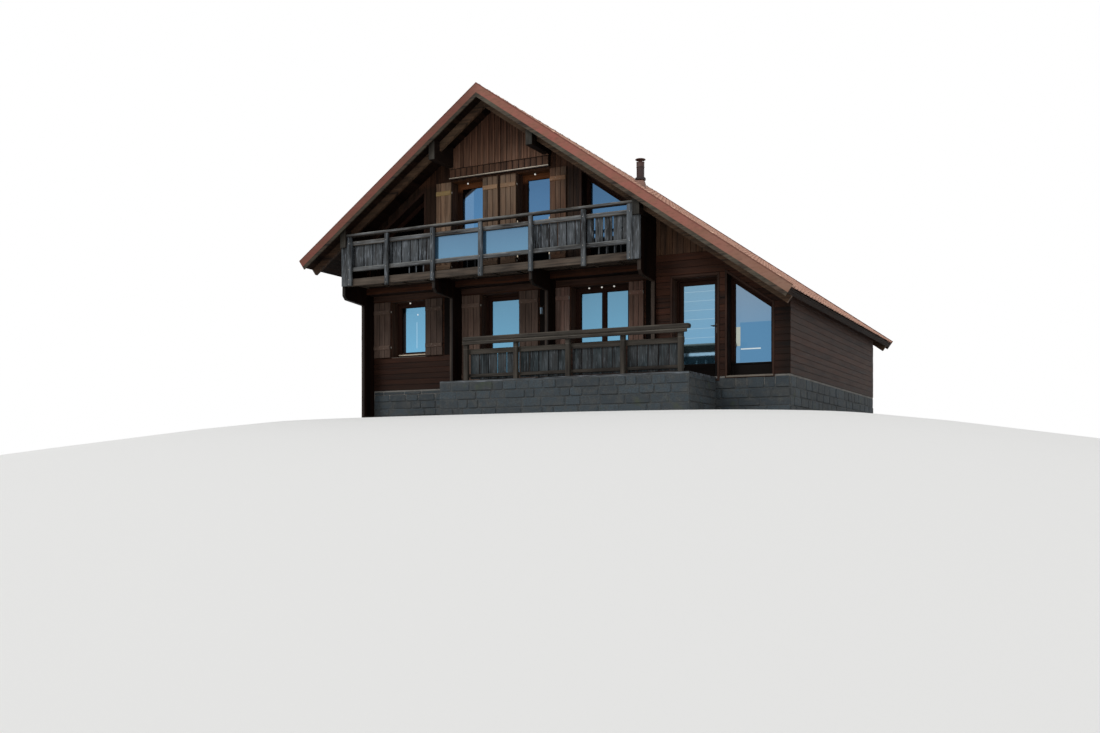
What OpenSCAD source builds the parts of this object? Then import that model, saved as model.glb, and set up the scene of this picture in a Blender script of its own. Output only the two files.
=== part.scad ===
// Alpine chalet with a catslide roof over a side extension, a balcony across the gable,
// a railed terrace, hinged shutters and two garden doors.
// X runs along the front, Y runs into the house and Z is up.
// House measures are taken from three lines: the ridge (x), the upper front wall (y)
// and the ground floor level (z). The frame origin is under the middle of the bounding box.

/* [Roof] */
// Slope of both roof planes, in degrees
roof_pitch = 35.3; // [34:0.1:36.5]
// Height of the ridge line above the ground floor
ridge_z = 6600; // [6500:10:6800]
// Level distance from the ridge to the left eave
left_eave = 4960; // [4700:10:5200]
// Level distance from the ridge to the right eave
right_eave = 7050; // [6950:10:7200]
// Thickness of the roof build-up, square to the slope
roof_t = 200; // [170:5:220]
// Overhang in front of the upper front wall
front_overhang = 1080; // [1000:10:1150]
// Overhang behind the rear wall
rear_overhang = 1080; // [700:10:1200]
// Thickness of the verge boards
verge_t = 30; // [20:1:40]
// Depth of the painted verge boards, square to the slope
verge_h = 180; // [150:5:195]
// Depth of the bare board under each verge board
verge_trim_h = 80; // [60:5:100]
// Width of each purlin
purlin_w = 160; // [120:5:180]
// Height of each purlin at its outer face
purlin_h = 320; // [260:10:340]
// Distance by which the purlin ends stay behind the verge
purlin_setback = 140; // [60:10:300]
// Width of the overhang rafters
rafter_w = 80; // [60:5:120]
// Depth of the overhang rafters, square to the slope
rafter_h = 160; // [120:5:180]
// Distance of the overhang rafters from the gable walls
rafter_gap = 650; // [500:10:750]
// Depth of the tile bed below the top of the verge boards, square to the slope
tile_bed = 80; // [70:1:90]
// Depth of the upper end of each tile course below the top of the verge boards
tile_low = 58; // [50:1:65]
// Depth of the lower end of each tile course below the top of the verge boards
tile_high = 36; // [28:1:44]
// Number of tile courses on the right slope
right_courses = 26; // [22:1:30]
// Number of tile courses on the left slope
left_courses = 18; // [15:1:21]
// Radius of the ridge tile run
ridge_tile_r = 120; // [100:5:130]
// Depth of the top of the ridge tiles below the verge boards' peak
ridge_tile_drop = 20; // [10:5:30]

/* [Walls and floors] */
// Outer face of the main side walls, measured from the ridge
side_x = 3830; // [3780:10:3880]
// Outer face of the extension wall, measured from the ridge
extension_x = 6710; // [6640:10:6780]
// Distance from the upper front wall to the rear face of the house
depth = 8400; // [7500:50:9000]
// Thickness of the outer walls
wall_t = 320; // [300:5:340]
// Distance of the ground front wall behind the upper front wall
bay_y = 300; // [250:10:350]
// Level of the upper floor
upper_z = 2550; // [2500:10:2600]
// Thickness of the upper floor
upper_floor_t = 220; // [180:10:240]
// Thickness of the ground floor
ground_floor_t = 200; // [150:10:240]
// Depth of the foundation below the ground floor level
base_depth = 800; // [600:10:1000]

/* [Wing walls] */
// Thickness of the plank wing walls
wing_t = 80; // [70:5:85]
// Distance of the inner wing walls from the ridge
inner_wing_x = 1250; // [1230:5:1260]
// Front edge of the wing walls at the ground, ahead of the upper front wall
wing_front = 100; // [60:10:140]
// Underside of the corbels where they leave the wing walls
corbel_z = 2070; // [2030:10:2100]
// Underside of the corbels near their tips
corbel_tip_z = 2120; // [2100:10:2180]
// Length of the slanted nose at the corbel tips
corbel_nose = 80; // [60:5:100]

/* [Upper front] */
// Distance of the upper doors from the ridge, to their middles
upper_door_x = 870; // [860:5:880]
// Width of the upper door openings
upper_door_w = 840; // [820:5:860]
// Height of the upper door openings
upper_door_h = 2250; // [2200:10:2260]
// Inner edge of the gable windows, measured from the ridge
gable_window_x = 2075; // [2050:5:2100]
// Outer edge of the gable windows, measured from the ridge
gable_window_end = 3640; // [3500:10:3660]
// Upright gap between the roof underside and the gable windows
gable_window_gap = 250; // [230:10:300]
// Height of the gable window sills above the upper floor
gable_window_sill = 90; // [60:10:140]
// Half width of the raised gable panel
panel_x = 1300; // [1260:5:1330]
// Distance of the raised gable panel above the upper door openings
panel_rise = 50; // [40:5:70]
// Thickness of the raised gable panel
panel_t = 100; // [80:5:120]
// Height of the drip rail under the gable panel
drip_h = 35; // [25:5:45]
// Thickness of the drip rail
drip_t = 30; // [20:5:40]
// Height by which the drip rail covers the panel's lower edge
drip_cover = 15; // [10:1:20]

/* [Balcony] */
// Distance of the balcony front from the upper front wall
balcony_y = 850; // [800:10:880]
// Height of the front beam
balcony_beam_h = 170; // [150:5:180]
// Thickness of the front beam
balcony_beam_t = 80; // [60:5:100]
// Rise of the front beam above the balcony floor
balcony_beam_rise = 35; // [20:5:50]
// Thickness of the balcony floor
balcony_deck_t = 60; // [40:5:70]
// Width of the five free posts
post_w = 100; // [80:5:110]
// Depth of the posts
post_t = 65; // [50:5:75]
// Width of the two end posts
end_post_w = 300; // [280:5:310]
// Distance between the free posts
post_pitch = 1265; // [1240:5:1280]
// Drop of the posts below the front beam
post_drop = 50; // [30:5:70]
// Top of the handrail above the balcony floor
handrail_z = 1085; // [1050:5:1110]
// Height of the handrail
handrail_h = 70; // [50:5:80]
// Depth of the handrail
handrail_t = 130; // [110:5:150]
// Height of the two flat rails
flat_rail_h = 100; // [80:5:110]
// Thickness of the two flat rails
flat_rail_t = 45; // [35:5:50]
// Top of the upper flat rail above the balcony floor
upper_rail_z = 910; // [880:5:930]
// Underside of the lower flat rail above the balcony floor
lower_rail_z = 200; // [180:5:220]
// Width of one balcony board
balcony_board_w = 140; // [120:5:150]
// Thickness of the balcony boards and clear panels
balcony_board_t = 22; // [18:1:26]
// Gap between two balcony boards
balcony_board_gap = 8; // [6:1:14]
// Thickness of the clear panels in the middle bays
clear_panel_t = 10; // [6:1:12]
// Distance of the clear panels from the middles of the posts
panel_side_gap = 20; // [10:5:30]

/* [Ground openings] */
// Head height of the ground floor openings
head_z = 2170; // [2140:10:2200]
// Sill height of the ground floor windows
sill_z = 800; // [760:10:840]
// Left edge of the left window, measured from the ridge
left_window_x = -3230; // [-3235:1:-3225]
// Width of the left window opening
left_window_w = 1000; // [980:5:1010]
// Left edge of the garden door under the balcony
french_x = -680; // [-685:1:-675]
// Width of the garden door under the balcony
french_w = 1020; // [1010:5:1040]
// Left edge of the window with folding shutters
right_window_x = 1660; // [1655:1:1665]
// Width of the window with folding shutters
right_window_w = 1420; // [1400:5:1440]
// Left edge of the extension door
extension_door_x = 4200; // [4190:5:4240]
// Width of the extension door opening
extension_door_w = 990; // [970:5:1000]
// Height of the extension door opening
extension_door_h = 2110; // [2080:5:2120]
// Left edge of the slanted extension window
slant_x = 5400; // [5380:5:5420]
// Width of the slanted extension window
slant_w = 950; // [930:5:960]
// Upright gap between the roof underside and the slanted window
slant_gap = 410; // [380:10:430]

/* [Side and rear windows] */
// Front edge of the first side window, behind the upper front wall
side_window_y1 = 2300; // [2000:50:2500]
// Front edge of the second side window, behind the upper front wall
side_window_y2 = 5400; // [5100:50:5700]
// Width of the side windows
side_window_w = 900; // [800:10:1000]
// Left edge of the left rear window, seen from the front and measured from the ridge
rear_window_x1 = -2900; // [-3000:10:-2800]
// Left edge of the right rear window, seen from the front and measured from the ridge
rear_window_x2 = 1660; // [1500:10:1800]
// Width of the lower rear windows
rear_window_w = 1200; // [1100:10:1300]
// Sill height of the upper rear windows above the upper floor
rear_sill_rise = 900; // [850:10:950]
// Height of the upper rear windows
rear_upper_h = 1200; // [1100:10:1250]

/* [Frames and doors] */
// Distance of the frames behind the wall face
reveal = 245; // [220:5:245]
// Face width of the middle stiles of the windows with two panes
mullion_w = 120; // [100:5:170]
// Depth of the fixed frames
frame_d = 75; // [70:1:80]
// Face width of the fixed frames
frame_w = 55; // [45:5:65]
// Face width of the sashes and door stiles
sash_w = 85; // [70:5:95]
// Thickness of the door leaves
leaf_t = 56; // [50:1:60]
// Height of the solid bottom rail of the upper doors and of the slanted window
kick_h = 230; // [200:10:260]
// Height of the solid bottom rail of the garden doors
door_kick_h = 300; // [270:10:320]
// Running gap round a door leaf
leaf_gap = 6; // [5:0.5:8]
// Running gap at the closing edge of a door leaf
lock_gap = 10; // [9:0.5:12]
// Thickness of the glazing
glass_t = 24; // [20:1:28]
// Radius of the hinge pins
pin_r = 6; // [5:0.5:7]
// Running gap between pin and knuckle
pin_gap = 0.3; // [0.2:0.05:0.4]
// Wall of a hinge knuckle
knuckle_wall = 3.7; // [3:0.1:4]
// Height of a hinge knuckle
knuckle_h = 90; // [70:5:110]
// Distance of the door pins from the inner face of the leaf
door_pin_out = 16; // [15:0.5:20]
// Distance of the end hinges from the door ends
hinge_end = 300; // [250:10:350]
// Height of the brackets that hold a hinge pin
bracket_h = 20; // [16:1:24]

/* [Shutters] */
// Thickness of the shutter boards
shutter_t = 32; // [26:1:34]
// Thickness of the shutter ledges
ledge_t = 16; // [12:1:20]
// Height of the shutter ledges
ledge_h = 150; // [100:5:170]
// Distance of the ledges from the shutter ends
ledge_inset = 90; // [60:5:110]
// Distance of the shutter pins in front of the wall
shutter_pin_out = 20; // [18:0.5:24]
// Distance of the shutter boards from the line of their pins
shutter_pin_side = 15; // [14:0.5:18]
// Gap between two closed shutters
meet_gap = 12; // [12:0.5:16]
// Gap above and below a closed shutter
shutter_end_gap = 12; // [10:1:20]
// Length of the strap hinges
strap_l = 260; // [200:10:320]
// Thickness of the strap hinges
strap_t = 5; // [4:0.5:6]
// Height of the strap hinges
strap_h = 40; // [30:2:50]
// Distance of the straps from the shutter ends
strap_inset = 240; // [200:10:300]
// Gap between the floor and the door shutters
shutter_floor_gap = 20; // [15:1:30]
// Height of the pintle arms
pintle_arm_h = 16; // [12:1:20]
// Gap between a pintle arm and the knuckle above it
pintle_gap = 0.3; // [0.2:0.05:0.4]
// Width of one folding shutter leaf
fold_leaf_w = 340; // [320:5:345]
// Thickness of one folding shutter leaf
fold_leaf_t = 28; // [24:1:30]
// Distance of the folded leaves from the wall
fold_stand = 20; // [15:1:25]
// Size of the square pads behind the folded leaves
fold_pad = 60; // [50:5:80]

/* [Terrace] */
// Left end of the terrace, measured from the ridge
terrace_x0 = -600; // [-650:10:-560]
// Right end of the terrace, measured from the ridge
terrace_x1 = 5150; // [5100:10:5180]
// Front face of the terrace base, ahead of the upper front wall
terrace_y = 1600; // [1500:10:1700]
// Thickness of the terrace base walls
terrace_wall_t = 250; // [200:10:300]
// Drop of the terrace floor below the ground floor
terrace_drop = 10; // [5:1:15]
// Thickness of the terrace floor
terrace_deck_t = 40; // [30:2:50]
// Left end of the terrace railing, measured from the ridge
terrace_rail_x = 0; // [-50:10:50]
// Number of railing bays
terrace_bays = 4; // [3:1:5]
// Width of the terrace posts
terrace_post_w = 100; // [90:5:110]
// Top of the terrace handrail
terrace_rail_z = 920; // [890:5:940]
// Height of the terrace handrail
terrace_handrail_h = 90; // [80:5:95]
// Reach of the handrail past the end post
terrace_rail_over = 150; // [130:5:160]
// Reach of the rail under the handrail past the end post
terrace_under_over = 100; // [80:5:110]
// Distance of the last post's middle from the right end of the terrace
terrace_post_inset = 190; // [150:5:200]
// Reach of the handrail in front of the posts
terrace_rail_front = 60; // [40:5:80]
// Reach of the handrail behind the posts
terrace_rail_back = 20; // [10:5:30]
// Depth of the terrace posts
terrace_post_t = 90; // [80:5:110]
// Thickness of the level rails under the handrail
terrace_flat_t = 40; // [30:2:50]
// Height of the rail right under the handrail
terrace_under_h = 80; // [65:5:90]
// Underside of the middle rail above the ground floor
terrace_mid_low = 557; // [540:1:580]
// Height of the middle rail
terrace_mid_h = 110; // [95:5:120]
// Underside of the lowest rail above the ground floor
terrace_low_low = 60; // [40:5:80]
// Height of the lowest rail
terrace_low_h = 70; // [60:5:80]
// Width of the terrace boards
terrace_board_w = 205; // [190:5:215]
// Thickness of the terrace boards
terrace_board_t = 24; // [18:1:30]
// Lower ends of the terrace boards above the ground floor
terrace_board_low = 20; // [10:5:40]
// Height by which the boards cover the middle rail
terrace_board_lap = 20; // [10:5:60]
// Number of boards in one bay
terrace_boards_n = 5; // [3:1:5]

/* [Chimney] */
// Distance of the flue from the ridge
flue_x = 1800; // [1700:10:1900]
// Distance of the flue behind the upper front wall
flue_y = 4000; // [3500:50:4500]
// Outer radius of the flue
flue_r = 100; // [90:5:110]
// Wall of the flue
flue_wall = 15; // [10:1:20]
// Top of the flue above the ground floor
flue_z = 5860; // [5820:10:5900]
// Radius of the cap
cap_r = 130; // [120:5:140]
// Height of the cap disc
cap_h = 40; // [30:5:50]
// Free height under the cap disc
cap_gap = 60; // [40:5:80]
// Radius of the struts under the cap disc
strut_r = 6; // [4:0.5:7]
// Width of the collar round the flue
collar_w = 35; // [25:1:40]
// Height of the collar
collar_h = 70; // [50:5:80]
// Distance of the collar below the flue top
collar_drop = 460; // [430:5:470]
// Width of the flashing round the flue
flashing_w = 80; // [70:5:100]
// Rise of the flashing above the verge line
flashing_t = 18; // [12:1:24]

/* [Hidden] */
slope = tan(roof_pitch);
roof_v = roof_t / cos(roof_pitch);
clear_fit = 1;
roof_seat = 0.3;

front_reach = max(terrace_y + terrace_rail_front, front_overhang);
mid_x = (right_eave - left_eave) / 2;
mid_y = (depth + rear_overhang - front_reach) / 2;

outer_wing_x = side_x - wing_t / 2;
upper_floor_under = upper_z - upper_floor_t;
roof_y0 = verge_t - front_overhang;
roof_y1 = depth + rear_overhang - verge_t;
purlin_x = [-(side_x - purlin_w / 2), -inner_wing_x, inner_wing_x, side_x - purlin_w / 2];
outer_purlin_z = soffit(side_x) - purlin_h;

frame_back = reveal + frame_d;
leaf_inset = frame_d - leaf_t;
knuckle_r = pin_r + pin_gap + knuckle_wall;
door_hinge_n = 3;
shutter_door_w = (upper_door_w - 2 * shutter_pin_side - meet_gap) / 2;
beam_z0 = upper_z + balcony_beam_rise - balcony_beam_h;
deck_under = upper_z - balcony_deck_t;
panel_z = upper_z + upper_door_h + panel_rise;
rear_upper_sill = upper_z + rear_sill_rise;
left_window = [left_window_x, left_window_x + left_window_w];
right_window = [right_window_x, right_window_x + right_window_w];
window_z = [sill_z, head_z];
side_window_y = [side_window_y1, side_window_y2];
rear_window_x = [rear_window_x1, rear_window_x2];
post_x = [for (i = [-2:2]) i * post_pitch];
infill_y = [-balcony_y + flat_rail_t, -balcony_y + flat_rail_t + balcony_board_t];
infill_z = [upper_z + lower_rail_z, upper_z + upper_rail_z];
glass_y = reveal + (frame_d - glass_t) / 2;
window_shutter_z = [sill_z + shutter_end_gap, head_z - shutter_end_gap];
french_shutter_z = [shutter_floor_gap, head_z - shutter_end_gap];
upper_shutter_z = [upper_z + shutter_floor_gap, upper_z + upper_door_h - shutter_end_gap];
terrace_top = -terrace_drop - terrace_deck_t;
terrace_rail_y = [-terrace_y, -terrace_y + terrace_post_t];
terrace_x = [terrace_rail_x + terrace_post_w / 2, terrace_x1 - terrace_post_inset];
terrace_pitch = (terrace_x[1] - terrace_x[0]) / terrace_bays;
wood_dark = [0.24, 0.14, 0.10];
wood_brown = [0.36, 0.24, 0.17];
wood_grey = [0.45, 0.45, 0.44];
wood_frame = [0.33, 0.16, 0.10];
stone_grey = [0.50, 0.48, 0.46];
clay_red = [0.72, 0.42, 0.32];
glass_blue = [0.45, 0.62, 0.75];
metal_dark = [0.14, 0.13, 0.12];

function roof_top(x) = ridge_z - abs(x) * slope;
function soffit(x) = roof_top(x) - roof_v - roof_seat;
function pair_w(w) = (w - 2 * shutter_pin_side - meet_gap) / 2;

// Helpers: a box between two corners, and outlines drawn in a wall's own plane.
module block(x, y, z) {
    translate([x[0], y[0], z[0]])
        cube([x[1] - x[0], y[1] - y[0], z[1] - z[0]]);
}
module along_y(y0, y1) {
    translate([0, y1, 0]) rotate([90, 0, 0]) linear_extrude(y1 - y0) children();
}
module along_x(x0, x1) {
    translate([x0, 0, 0]) rotate([90, 0, 90]) linear_extrude(x1 - x0) children();
}
module rect(x, z) {
    translate([x[0], z[0]]) square([x[1] - x[0], z[1] - z[0]]);
}
module in_frame() {
    translate([-mid_x, -mid_y, base_depth]) children();
}

// Roof outlines. A band follows the right slope between two depths square to it.
module slope_band(e, d0, d1) {
    polygon([
        [0, ridge_z - d0 / cos(roof_pitch)],
        [e - d0 * sin(roof_pitch), roof_top(e) - d0 * cos(roof_pitch)],
        [e - d1 * sin(roof_pitch), roof_top(e) - d1 * cos(roof_pitch)],
        [0, ridge_z - d1 / cos(roof_pitch)]]);
}
module both_slopes(d0, d1) {
    slope_band(right_eave, d0, d1);
    mirror([1, 0]) slope_band(left_eave, d0, d1);
}
module under_roof(x0, x1, z0) {
    polygon([
        [x0, z0], [x1, z0], [x1, soffit(x1)],
        if (x0 < 0 && x1 > 0) [0, soffit(0)],
        [x0, soffit(x0)]]);
}
module purlin_outline(x, gap = 0) {
    x0 = x - purlin_w / 2 - gap;
    x1 = x + purlin_w / 2 + gap;
    far = max(abs(x0), abs(x1));
    polygon([
        [x0, soffit(far) - purlin_h - gap], [x1, soffit(far) - purlin_h - gap],
        [x1, soffit(x1) + gap],
        if (x0 < 0 && x1 > 0) [0, soffit(0) + gap],
        [x0, soffit(x0) + gap]]);
}
module purlin_outlines(gap = 0) {
    for (x = purlin_x) purlin_outline(x, gap);
}
module clear_of_purlins() {
    difference() {
        children();
        along_y(-front_overhang, 0) purlin_outlines(clear_fit);
    }
}

// Foundation and floors
module house_plan(inset = 0) {
    polygon([
        [-side_x + inset, bay_y + inset], [side_x + inset, bay_y + inset],
        [side_x + inset, inset], [extension_x - inset, inset],
        [extension_x - inset, depth - inset], [-side_x + inset, depth - inset]]);
}
module foundation() {
    color(stone_grey)
        in_frame() translate([0, 0, -base_depth])
            linear_extrude(base_depth - ground_floor_t)
                difference() {
                    house_plan();
                    house_plan(wall_t);
                }
}
module ground_floor() {
    color(stone_grey)
        in_frame() translate([0, 0, -ground_floor_t])
            linear_extrude(ground_floor_t) house_plan();
}
module upper_floor() {
    color(wood_brown)
        in_frame() difference() {
            block([-side_x, side_x], [0, depth - wall_t], [upper_floor_under, upper_z]);
            block([-side_x - 1, -side_x + wall_t], [bay_y + wall_t, depth],
                  [upper_floor_under - 1, upper_z + 1]);
        }
}

// Ground front wall, split beside and over the garden door
module front_wall_left() {
    color(wood_dark)
        in_frame() along_y(bay_y, bay_y + wall_t) difference() {
            rect([-side_x, french_x], [0, upper_floor_under]);
            rect([left_window_x, left_window_x + left_window_w], [sill_z, head_z]);
        }
}
module front_wall_right() {
    color(wood_dark)
        in_frame() along_y(bay_y, bay_y + wall_t) difference() {
            rect([french_x + french_w, side_x], [0, upper_floor_under]);
            rect([right_window_x, right_window_x + right_window_w], [sill_z, head_z]);
        }
}
module front_wall_lintel() {
    color(wood_dark)
        in_frame() block([french_x, french_x + french_w], [bay_y, bay_y + wall_t],
                         [head_z, upper_floor_under]);
}

// Extension front wall, split beside and over its door
module extension_wall_left() {
    color(wood_dark)
        in_frame() along_y(0, wall_t)
            under_roof(side_x, extension_door_x, 0);
}
module extension_wall_lintel() {
    color(wood_dark)
        in_frame() along_y(0, wall_t)
            under_roof(extension_door_x, extension_door_x + extension_door_w,
                       extension_door_h);
}
module slant_outline(inset = 0) {
    x0 = slant_x + inset;
    x1 = slant_x + slant_w - inset;
    down = slant_gap + inset / cos(roof_pitch);
    polygon([[x0, inset], [x1, inset], [x1, soffit(x1) - down], [x0, soffit(x0) - down]]);
}
module extension_wall_right() {
    color(wood_dark)
        in_frame() along_y(0, wall_t) difference() {
            under_roof(extension_door_x + extension_door_w, extension_x, 0);
            slant_outline();
        }
}

// Side and rear walls
module left_wall() {
    y0 = bay_y + wall_t;
    color(wood_dark)
        in_frame() difference() {
            along_y(y0, depth - wall_t) difference() {
                under_roof(-side_x, -side_x + wall_t, 0);
                purlin_outlines(clear_fit);
            }
            for (y = side_window_y)
                block([-side_x - 1, -side_x + wall_t + 1], [y, y + side_window_w],
                      [sill_z, head_z]);
        }
}
module right_wall() {
    color(wood_dark)
        in_frame() along_y(wall_t, depth - wall_t)
            under_roof(extension_x - wall_t, extension_x, 0);
}
module rear_openings() {
    for (x = rear_window_x)
        rect([x, x + rear_window_w], [sill_z, head_z]);
    for (s = [-1, 1])
        rect([s * upper_door_x - upper_door_w / 2, s * upper_door_x + upper_door_w / 2],
             [rear_upper_sill, rear_upper_sill + rear_upper_h]);
}
module rear_wall() {
    color(wood_dark)
        in_frame() along_y(depth - wall_t, depth) difference() {
            under_roof(-side_x, extension_x, 0);
            purlin_outlines(clear_fit);
            purlin_outline(0, clear_fit);
            rear_openings();
        }
}

// Upper front wall with its two doors and two gable windows
module upper_door_outline(side, inset = 0) {
    half = upper_door_w / 2 - inset;
    rect([side * upper_door_x - half, side * upper_door_x + half],
         [upper_z + inset, upper_z + upper_door_h - inset]);
}
module gable_window_outline(inset = 0) {
    x0 = gable_window_x + inset;
    x1 = gable_window_end - inset;
    z0 = upper_z + gable_window_sill + inset;
    down = gable_window_gap + inset / cos(roof_pitch);
    polygon([[x0, z0], [x1, z0], [x1, soffit(x1) - down], [x0, soffit(x0) - down]]);
}
module upper_front_wall() {
    color(wood_brown)
        in_frame() along_y(0, wall_t) difference() {
            under_roof(-side_x, side_x, upper_z);
            purlin_outlines(clear_fit);
            purlin_outline(0, clear_fit);
            for (side = [-1, 1]) upper_door_outline(side);
            gable_window_outline();
            mirror([1, 0]) gable_window_outline();
        }
}
module gable_panel() {
    color(wood_brown)
        in_frame() along_y(-panel_t, 0) difference() {
            under_roof(-panel_x, panel_x, panel_z);
            purlin_outlines(clear_fit);
        }
}
module drip_rail() {
    color([0.75, 0.73, 0.70])
        in_frame() clear_of_purlins()
            block([-panel_x, panel_x], [-panel_t - drip_t, -panel_t],
                  [panel_z - drip_h + drip_cover, panel_z + drip_cover]);
}

// Wing walls stand between the bays, carry the balcony on corbels and run to the ground.
module corbel_points(top) {
    polygon(concat(
        [[bay_y, -base_depth], [-wing_front, -base_depth], [-wing_front, corbel_z],
         [-balcony_y + corbel_nose, corbel_tip_z], [-balcony_y, corbel_tip_z + corbel_nose]],
        top,
        [[0, upper_floor_under], [bay_y, upper_floor_under]]));
}
module outer_wing_walls() {
    color(wood_dark)
        in_frame() for (side = [-1, 1])
            along_x(side * outer_wing_x - wing_t / 2, side * outer_wing_x + wing_t / 2)
                corbel_points([[-balcony_y, outer_purlin_z], [0, outer_purlin_z]]);
}
module inner_wing_walls() {
    color(wood_dark)
        in_frame() for (side = [-1, 1])
            along_x(side * inner_wing_x - wing_t / 2, side * inner_wing_x + wing_t / 2)
                corbel_points([
                    [-balcony_y, beam_z0], [-balcony_y + balcony_beam_t, beam_z0],
                    [-balcony_y + balcony_beam_t, deck_under], [0, deck_under]]);
}

// Roof
module purlins() {
    y0 = purlin_setback - front_overhang;
    y1 = depth + rear_overhang - purlin_setback;
    color(wood_dark)
        in_frame() {
            for (x = purlin_x) along_y(y0, y1) purlin_outline(x);
            along_y(0, depth) purlin_outline(0);
        }
}
module overhang_rafters() {
    color(wood_brown)
        in_frame() for (y = [-rafter_gap - rafter_w, depth + rafter_gap])
            along_y(y, y + rafter_w) difference() {
                both_slopes(roof_t, roof_t + rafter_h);
                purlin_outlines(clear_fit);
            }
}
module roof_left() {
    color(clay_red)
        in_frame() along_y(roof_y0, roof_y1)
            mirror([1, 0]) slope_band(left_eave, tile_bed, roof_t);
}
module roof_right() {
    color(clay_red)
        in_frame() along_y(roof_y0, roof_y1) slope_band(right_eave, tile_bed, roof_t);
}

// Tiles: stepped courses on each slope and a run of ridge tiles over both.
// on_slope gives the point at a distance down the right slope and a depth square to it.
function on_slope(s, d) = [
    s * cos(roof_pitch) - d * sin(roof_pitch), ridge_z - s * sin(roof_pitch) - d * cos(roof_pitch)];
module tile_courses(e, n, up = 0) {
    step = e / cos(roof_pitch) / n;
    polygon(concat(
        [[0, ridge_z - (tile_bed - roof_seat) / cos(roof_pitch)],
         on_slope(n * step, tile_bed - roof_seat)],
        [for (i = [n - 1:-1:0]) each [
            on_slope((i + 1) * step, tile_high - up),
            i > 0 ? on_slope(i * step, tile_low - up) : [0, ridge_z - (tile_low - up) / cos(roof_pitch)]]]));
}
module roof_tiles() {
    color(clay_red)
        in_frame() {
            along_y(roof_y0, roof_y1) mirror([1, 0]) tile_courses(left_eave, left_courses);
            difference() {
                along_y(roof_y0, roof_y1) tile_courses(right_eave, right_courses);
                translate([flue_x, flue_y, roof_top(flue_x)]) {
                    rotate([0, roof_pitch, 0]) translate([0, 0, -roof_t])
                        cylinder(r = flue_r + flashing_w + clear_fit, h = 2 * roof_t, $fn = 48);
                    translate([0, 0, -roof_t])
                        cylinder(r = flue_r + clear_fit, h = 2 * roof_t, $fn = 48);
                }
            }
            along_y(roof_y0, roof_y1) difference() {
                translate([0, ridge_z - ridge_tile_drop - ridge_tile_r])
                    circle(r = ridge_tile_r, $fn = 48);
                both_slopes(tile_low, roof_t + ridge_tile_r);
                tile_courses(right_eave, right_courses, roof_seat);
                mirror([1, 0]) tile_courses(left_eave, left_courses, roof_seat);
            }
        }
}
module verge(d0, d1, t) {
    in_frame() {
        along_y(-front_overhang, -front_overhang + t) both_slopes(d0, d1);
        along_y(depth + rear_overhang - t, depth + rear_overhang) both_slopes(d0, d1);
    }
}
module verge_boards() {
    color([0.55, 0.30, 0.24]) verge(0, verge_h, verge_t);
}
module verge_trims() {
    color([0.42, 0.36, 0.32]) verge(verge_h, verge_h + verge_trim_h, verge_t);
}

// Chimney
module chimney() {
    flashing_r = flue_r + flashing_w;
    base_z = roof_top(flue_x + flashing_r) - roof_v / 2;
    color(metal_dark)
        in_frame() translate([flue_x, flue_y, 0]) {
            difference() {
                union() {
                    translate([0, 0, base_z])
                        cylinder(r = flue_r, h = flue_z - base_z, $fn = 48);
                    translate([0, 0, flue_z - collar_drop])
                        cylinder(r = flue_r + collar_w, h = collar_h, $fn = 48);
                    translate([0, 0, roof_top(flue_x)]) rotate([0, roof_pitch, 0])
                        translate([0, 0, -tile_bed])
                            cylinder(r = flashing_r, h = tile_bed + flashing_t, $fn = 48);
                }
                translate([0, 0, base_z - 1])
                    cylinder(r = flue_r - flue_wall, h = flue_z - base_z + 2, $fn = 48);
                translate([-flue_x, 0, 0]) along_y(-2 * flashing_r, 2 * flashing_r)
                    slope_band(right_eave, tile_bed - roof_seat, 2 * roof_t);
            }
            translate([0, 0, flue_z + cap_gap])
                cylinder(r = cap_r, h = cap_h, $fn = 48);
            for (a = [45:90:315])
                rotate([0, 0, a]) translate([flue_r - flue_wall / 2, 0, flue_z - 1])
                    cylinder(r = strut_r, h = cap_gap + 2, $fn = 24);
        }
}

// Balcony
module balcony_deck() {
    color(wood_grey)
        in_frame() block([-side_x + wing_t, side_x - wing_t],
                         [-balcony_y + balcony_beam_t, 0], [deck_under, upper_z]);
}
module balcony_beam() {
    color(wood_grey)
        in_frame() block([-side_x + wing_t, side_x - wing_t],
                         [-balcony_y, -balcony_y + balcony_beam_t],
                         [beam_z0, beam_z0 + balcony_beam_h]);
}
module balcony_posts() {
    top = upper_z + handrail_z - handrail_h;
    y = [-balcony_y - post_t, -balcony_y];
    color(wood_grey)
        in_frame() clear_of_purlins() {
            for (x = post_x)
                block([x - post_w / 2, x + post_w / 2], y, [beam_z0 - post_drop, top]);
            for (side = [-1, 1])
                block([side * side_x - (side > 0 ? end_post_w : 0),
                       side * side_x + (side > 0 ? 0 : end_post_w)],
                      y, [beam_z0, top]);
        }
}
module balcony_rails() {
    x = [-side_x + wing_t, side_x - wing_t];
    y = [-balcony_y, -balcony_y + flat_rail_t];
    top = upper_z + handrail_z;
    color(wood_grey)
        in_frame() clear_of_purlins() {
            block(x, [-balcony_y - post_t, -balcony_y - post_t + handrail_t],
                  [top - handrail_h, top]);
            block(x, y, [upper_z + upper_rail_z - flat_rail_h, upper_z + upper_rail_z]);
            block(x, y, [upper_z + lower_rail_z, upper_z + lower_rail_z + flat_rail_h]);
        }
}
module board_row(x0, x1) {
    pitch = balcony_board_w + balcony_board_gap;
    count = floor((x1 - x0 + balcony_board_gap) / pitch);
    start = (x0 + x1 - count * pitch + balcony_board_gap) / 2;
    for (i = [0:count - 1])
        block([start + i * pitch, start + i * pitch + balcony_board_w], infill_y, infill_z);
}
module balcony_boards() {
    color(wood_grey)
        in_frame() clear_of_purlins() {
            board_row(post_pitch, side_x - wing_t);
            board_row(-side_x + wing_t, -post_pitch);
        }
}
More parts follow.
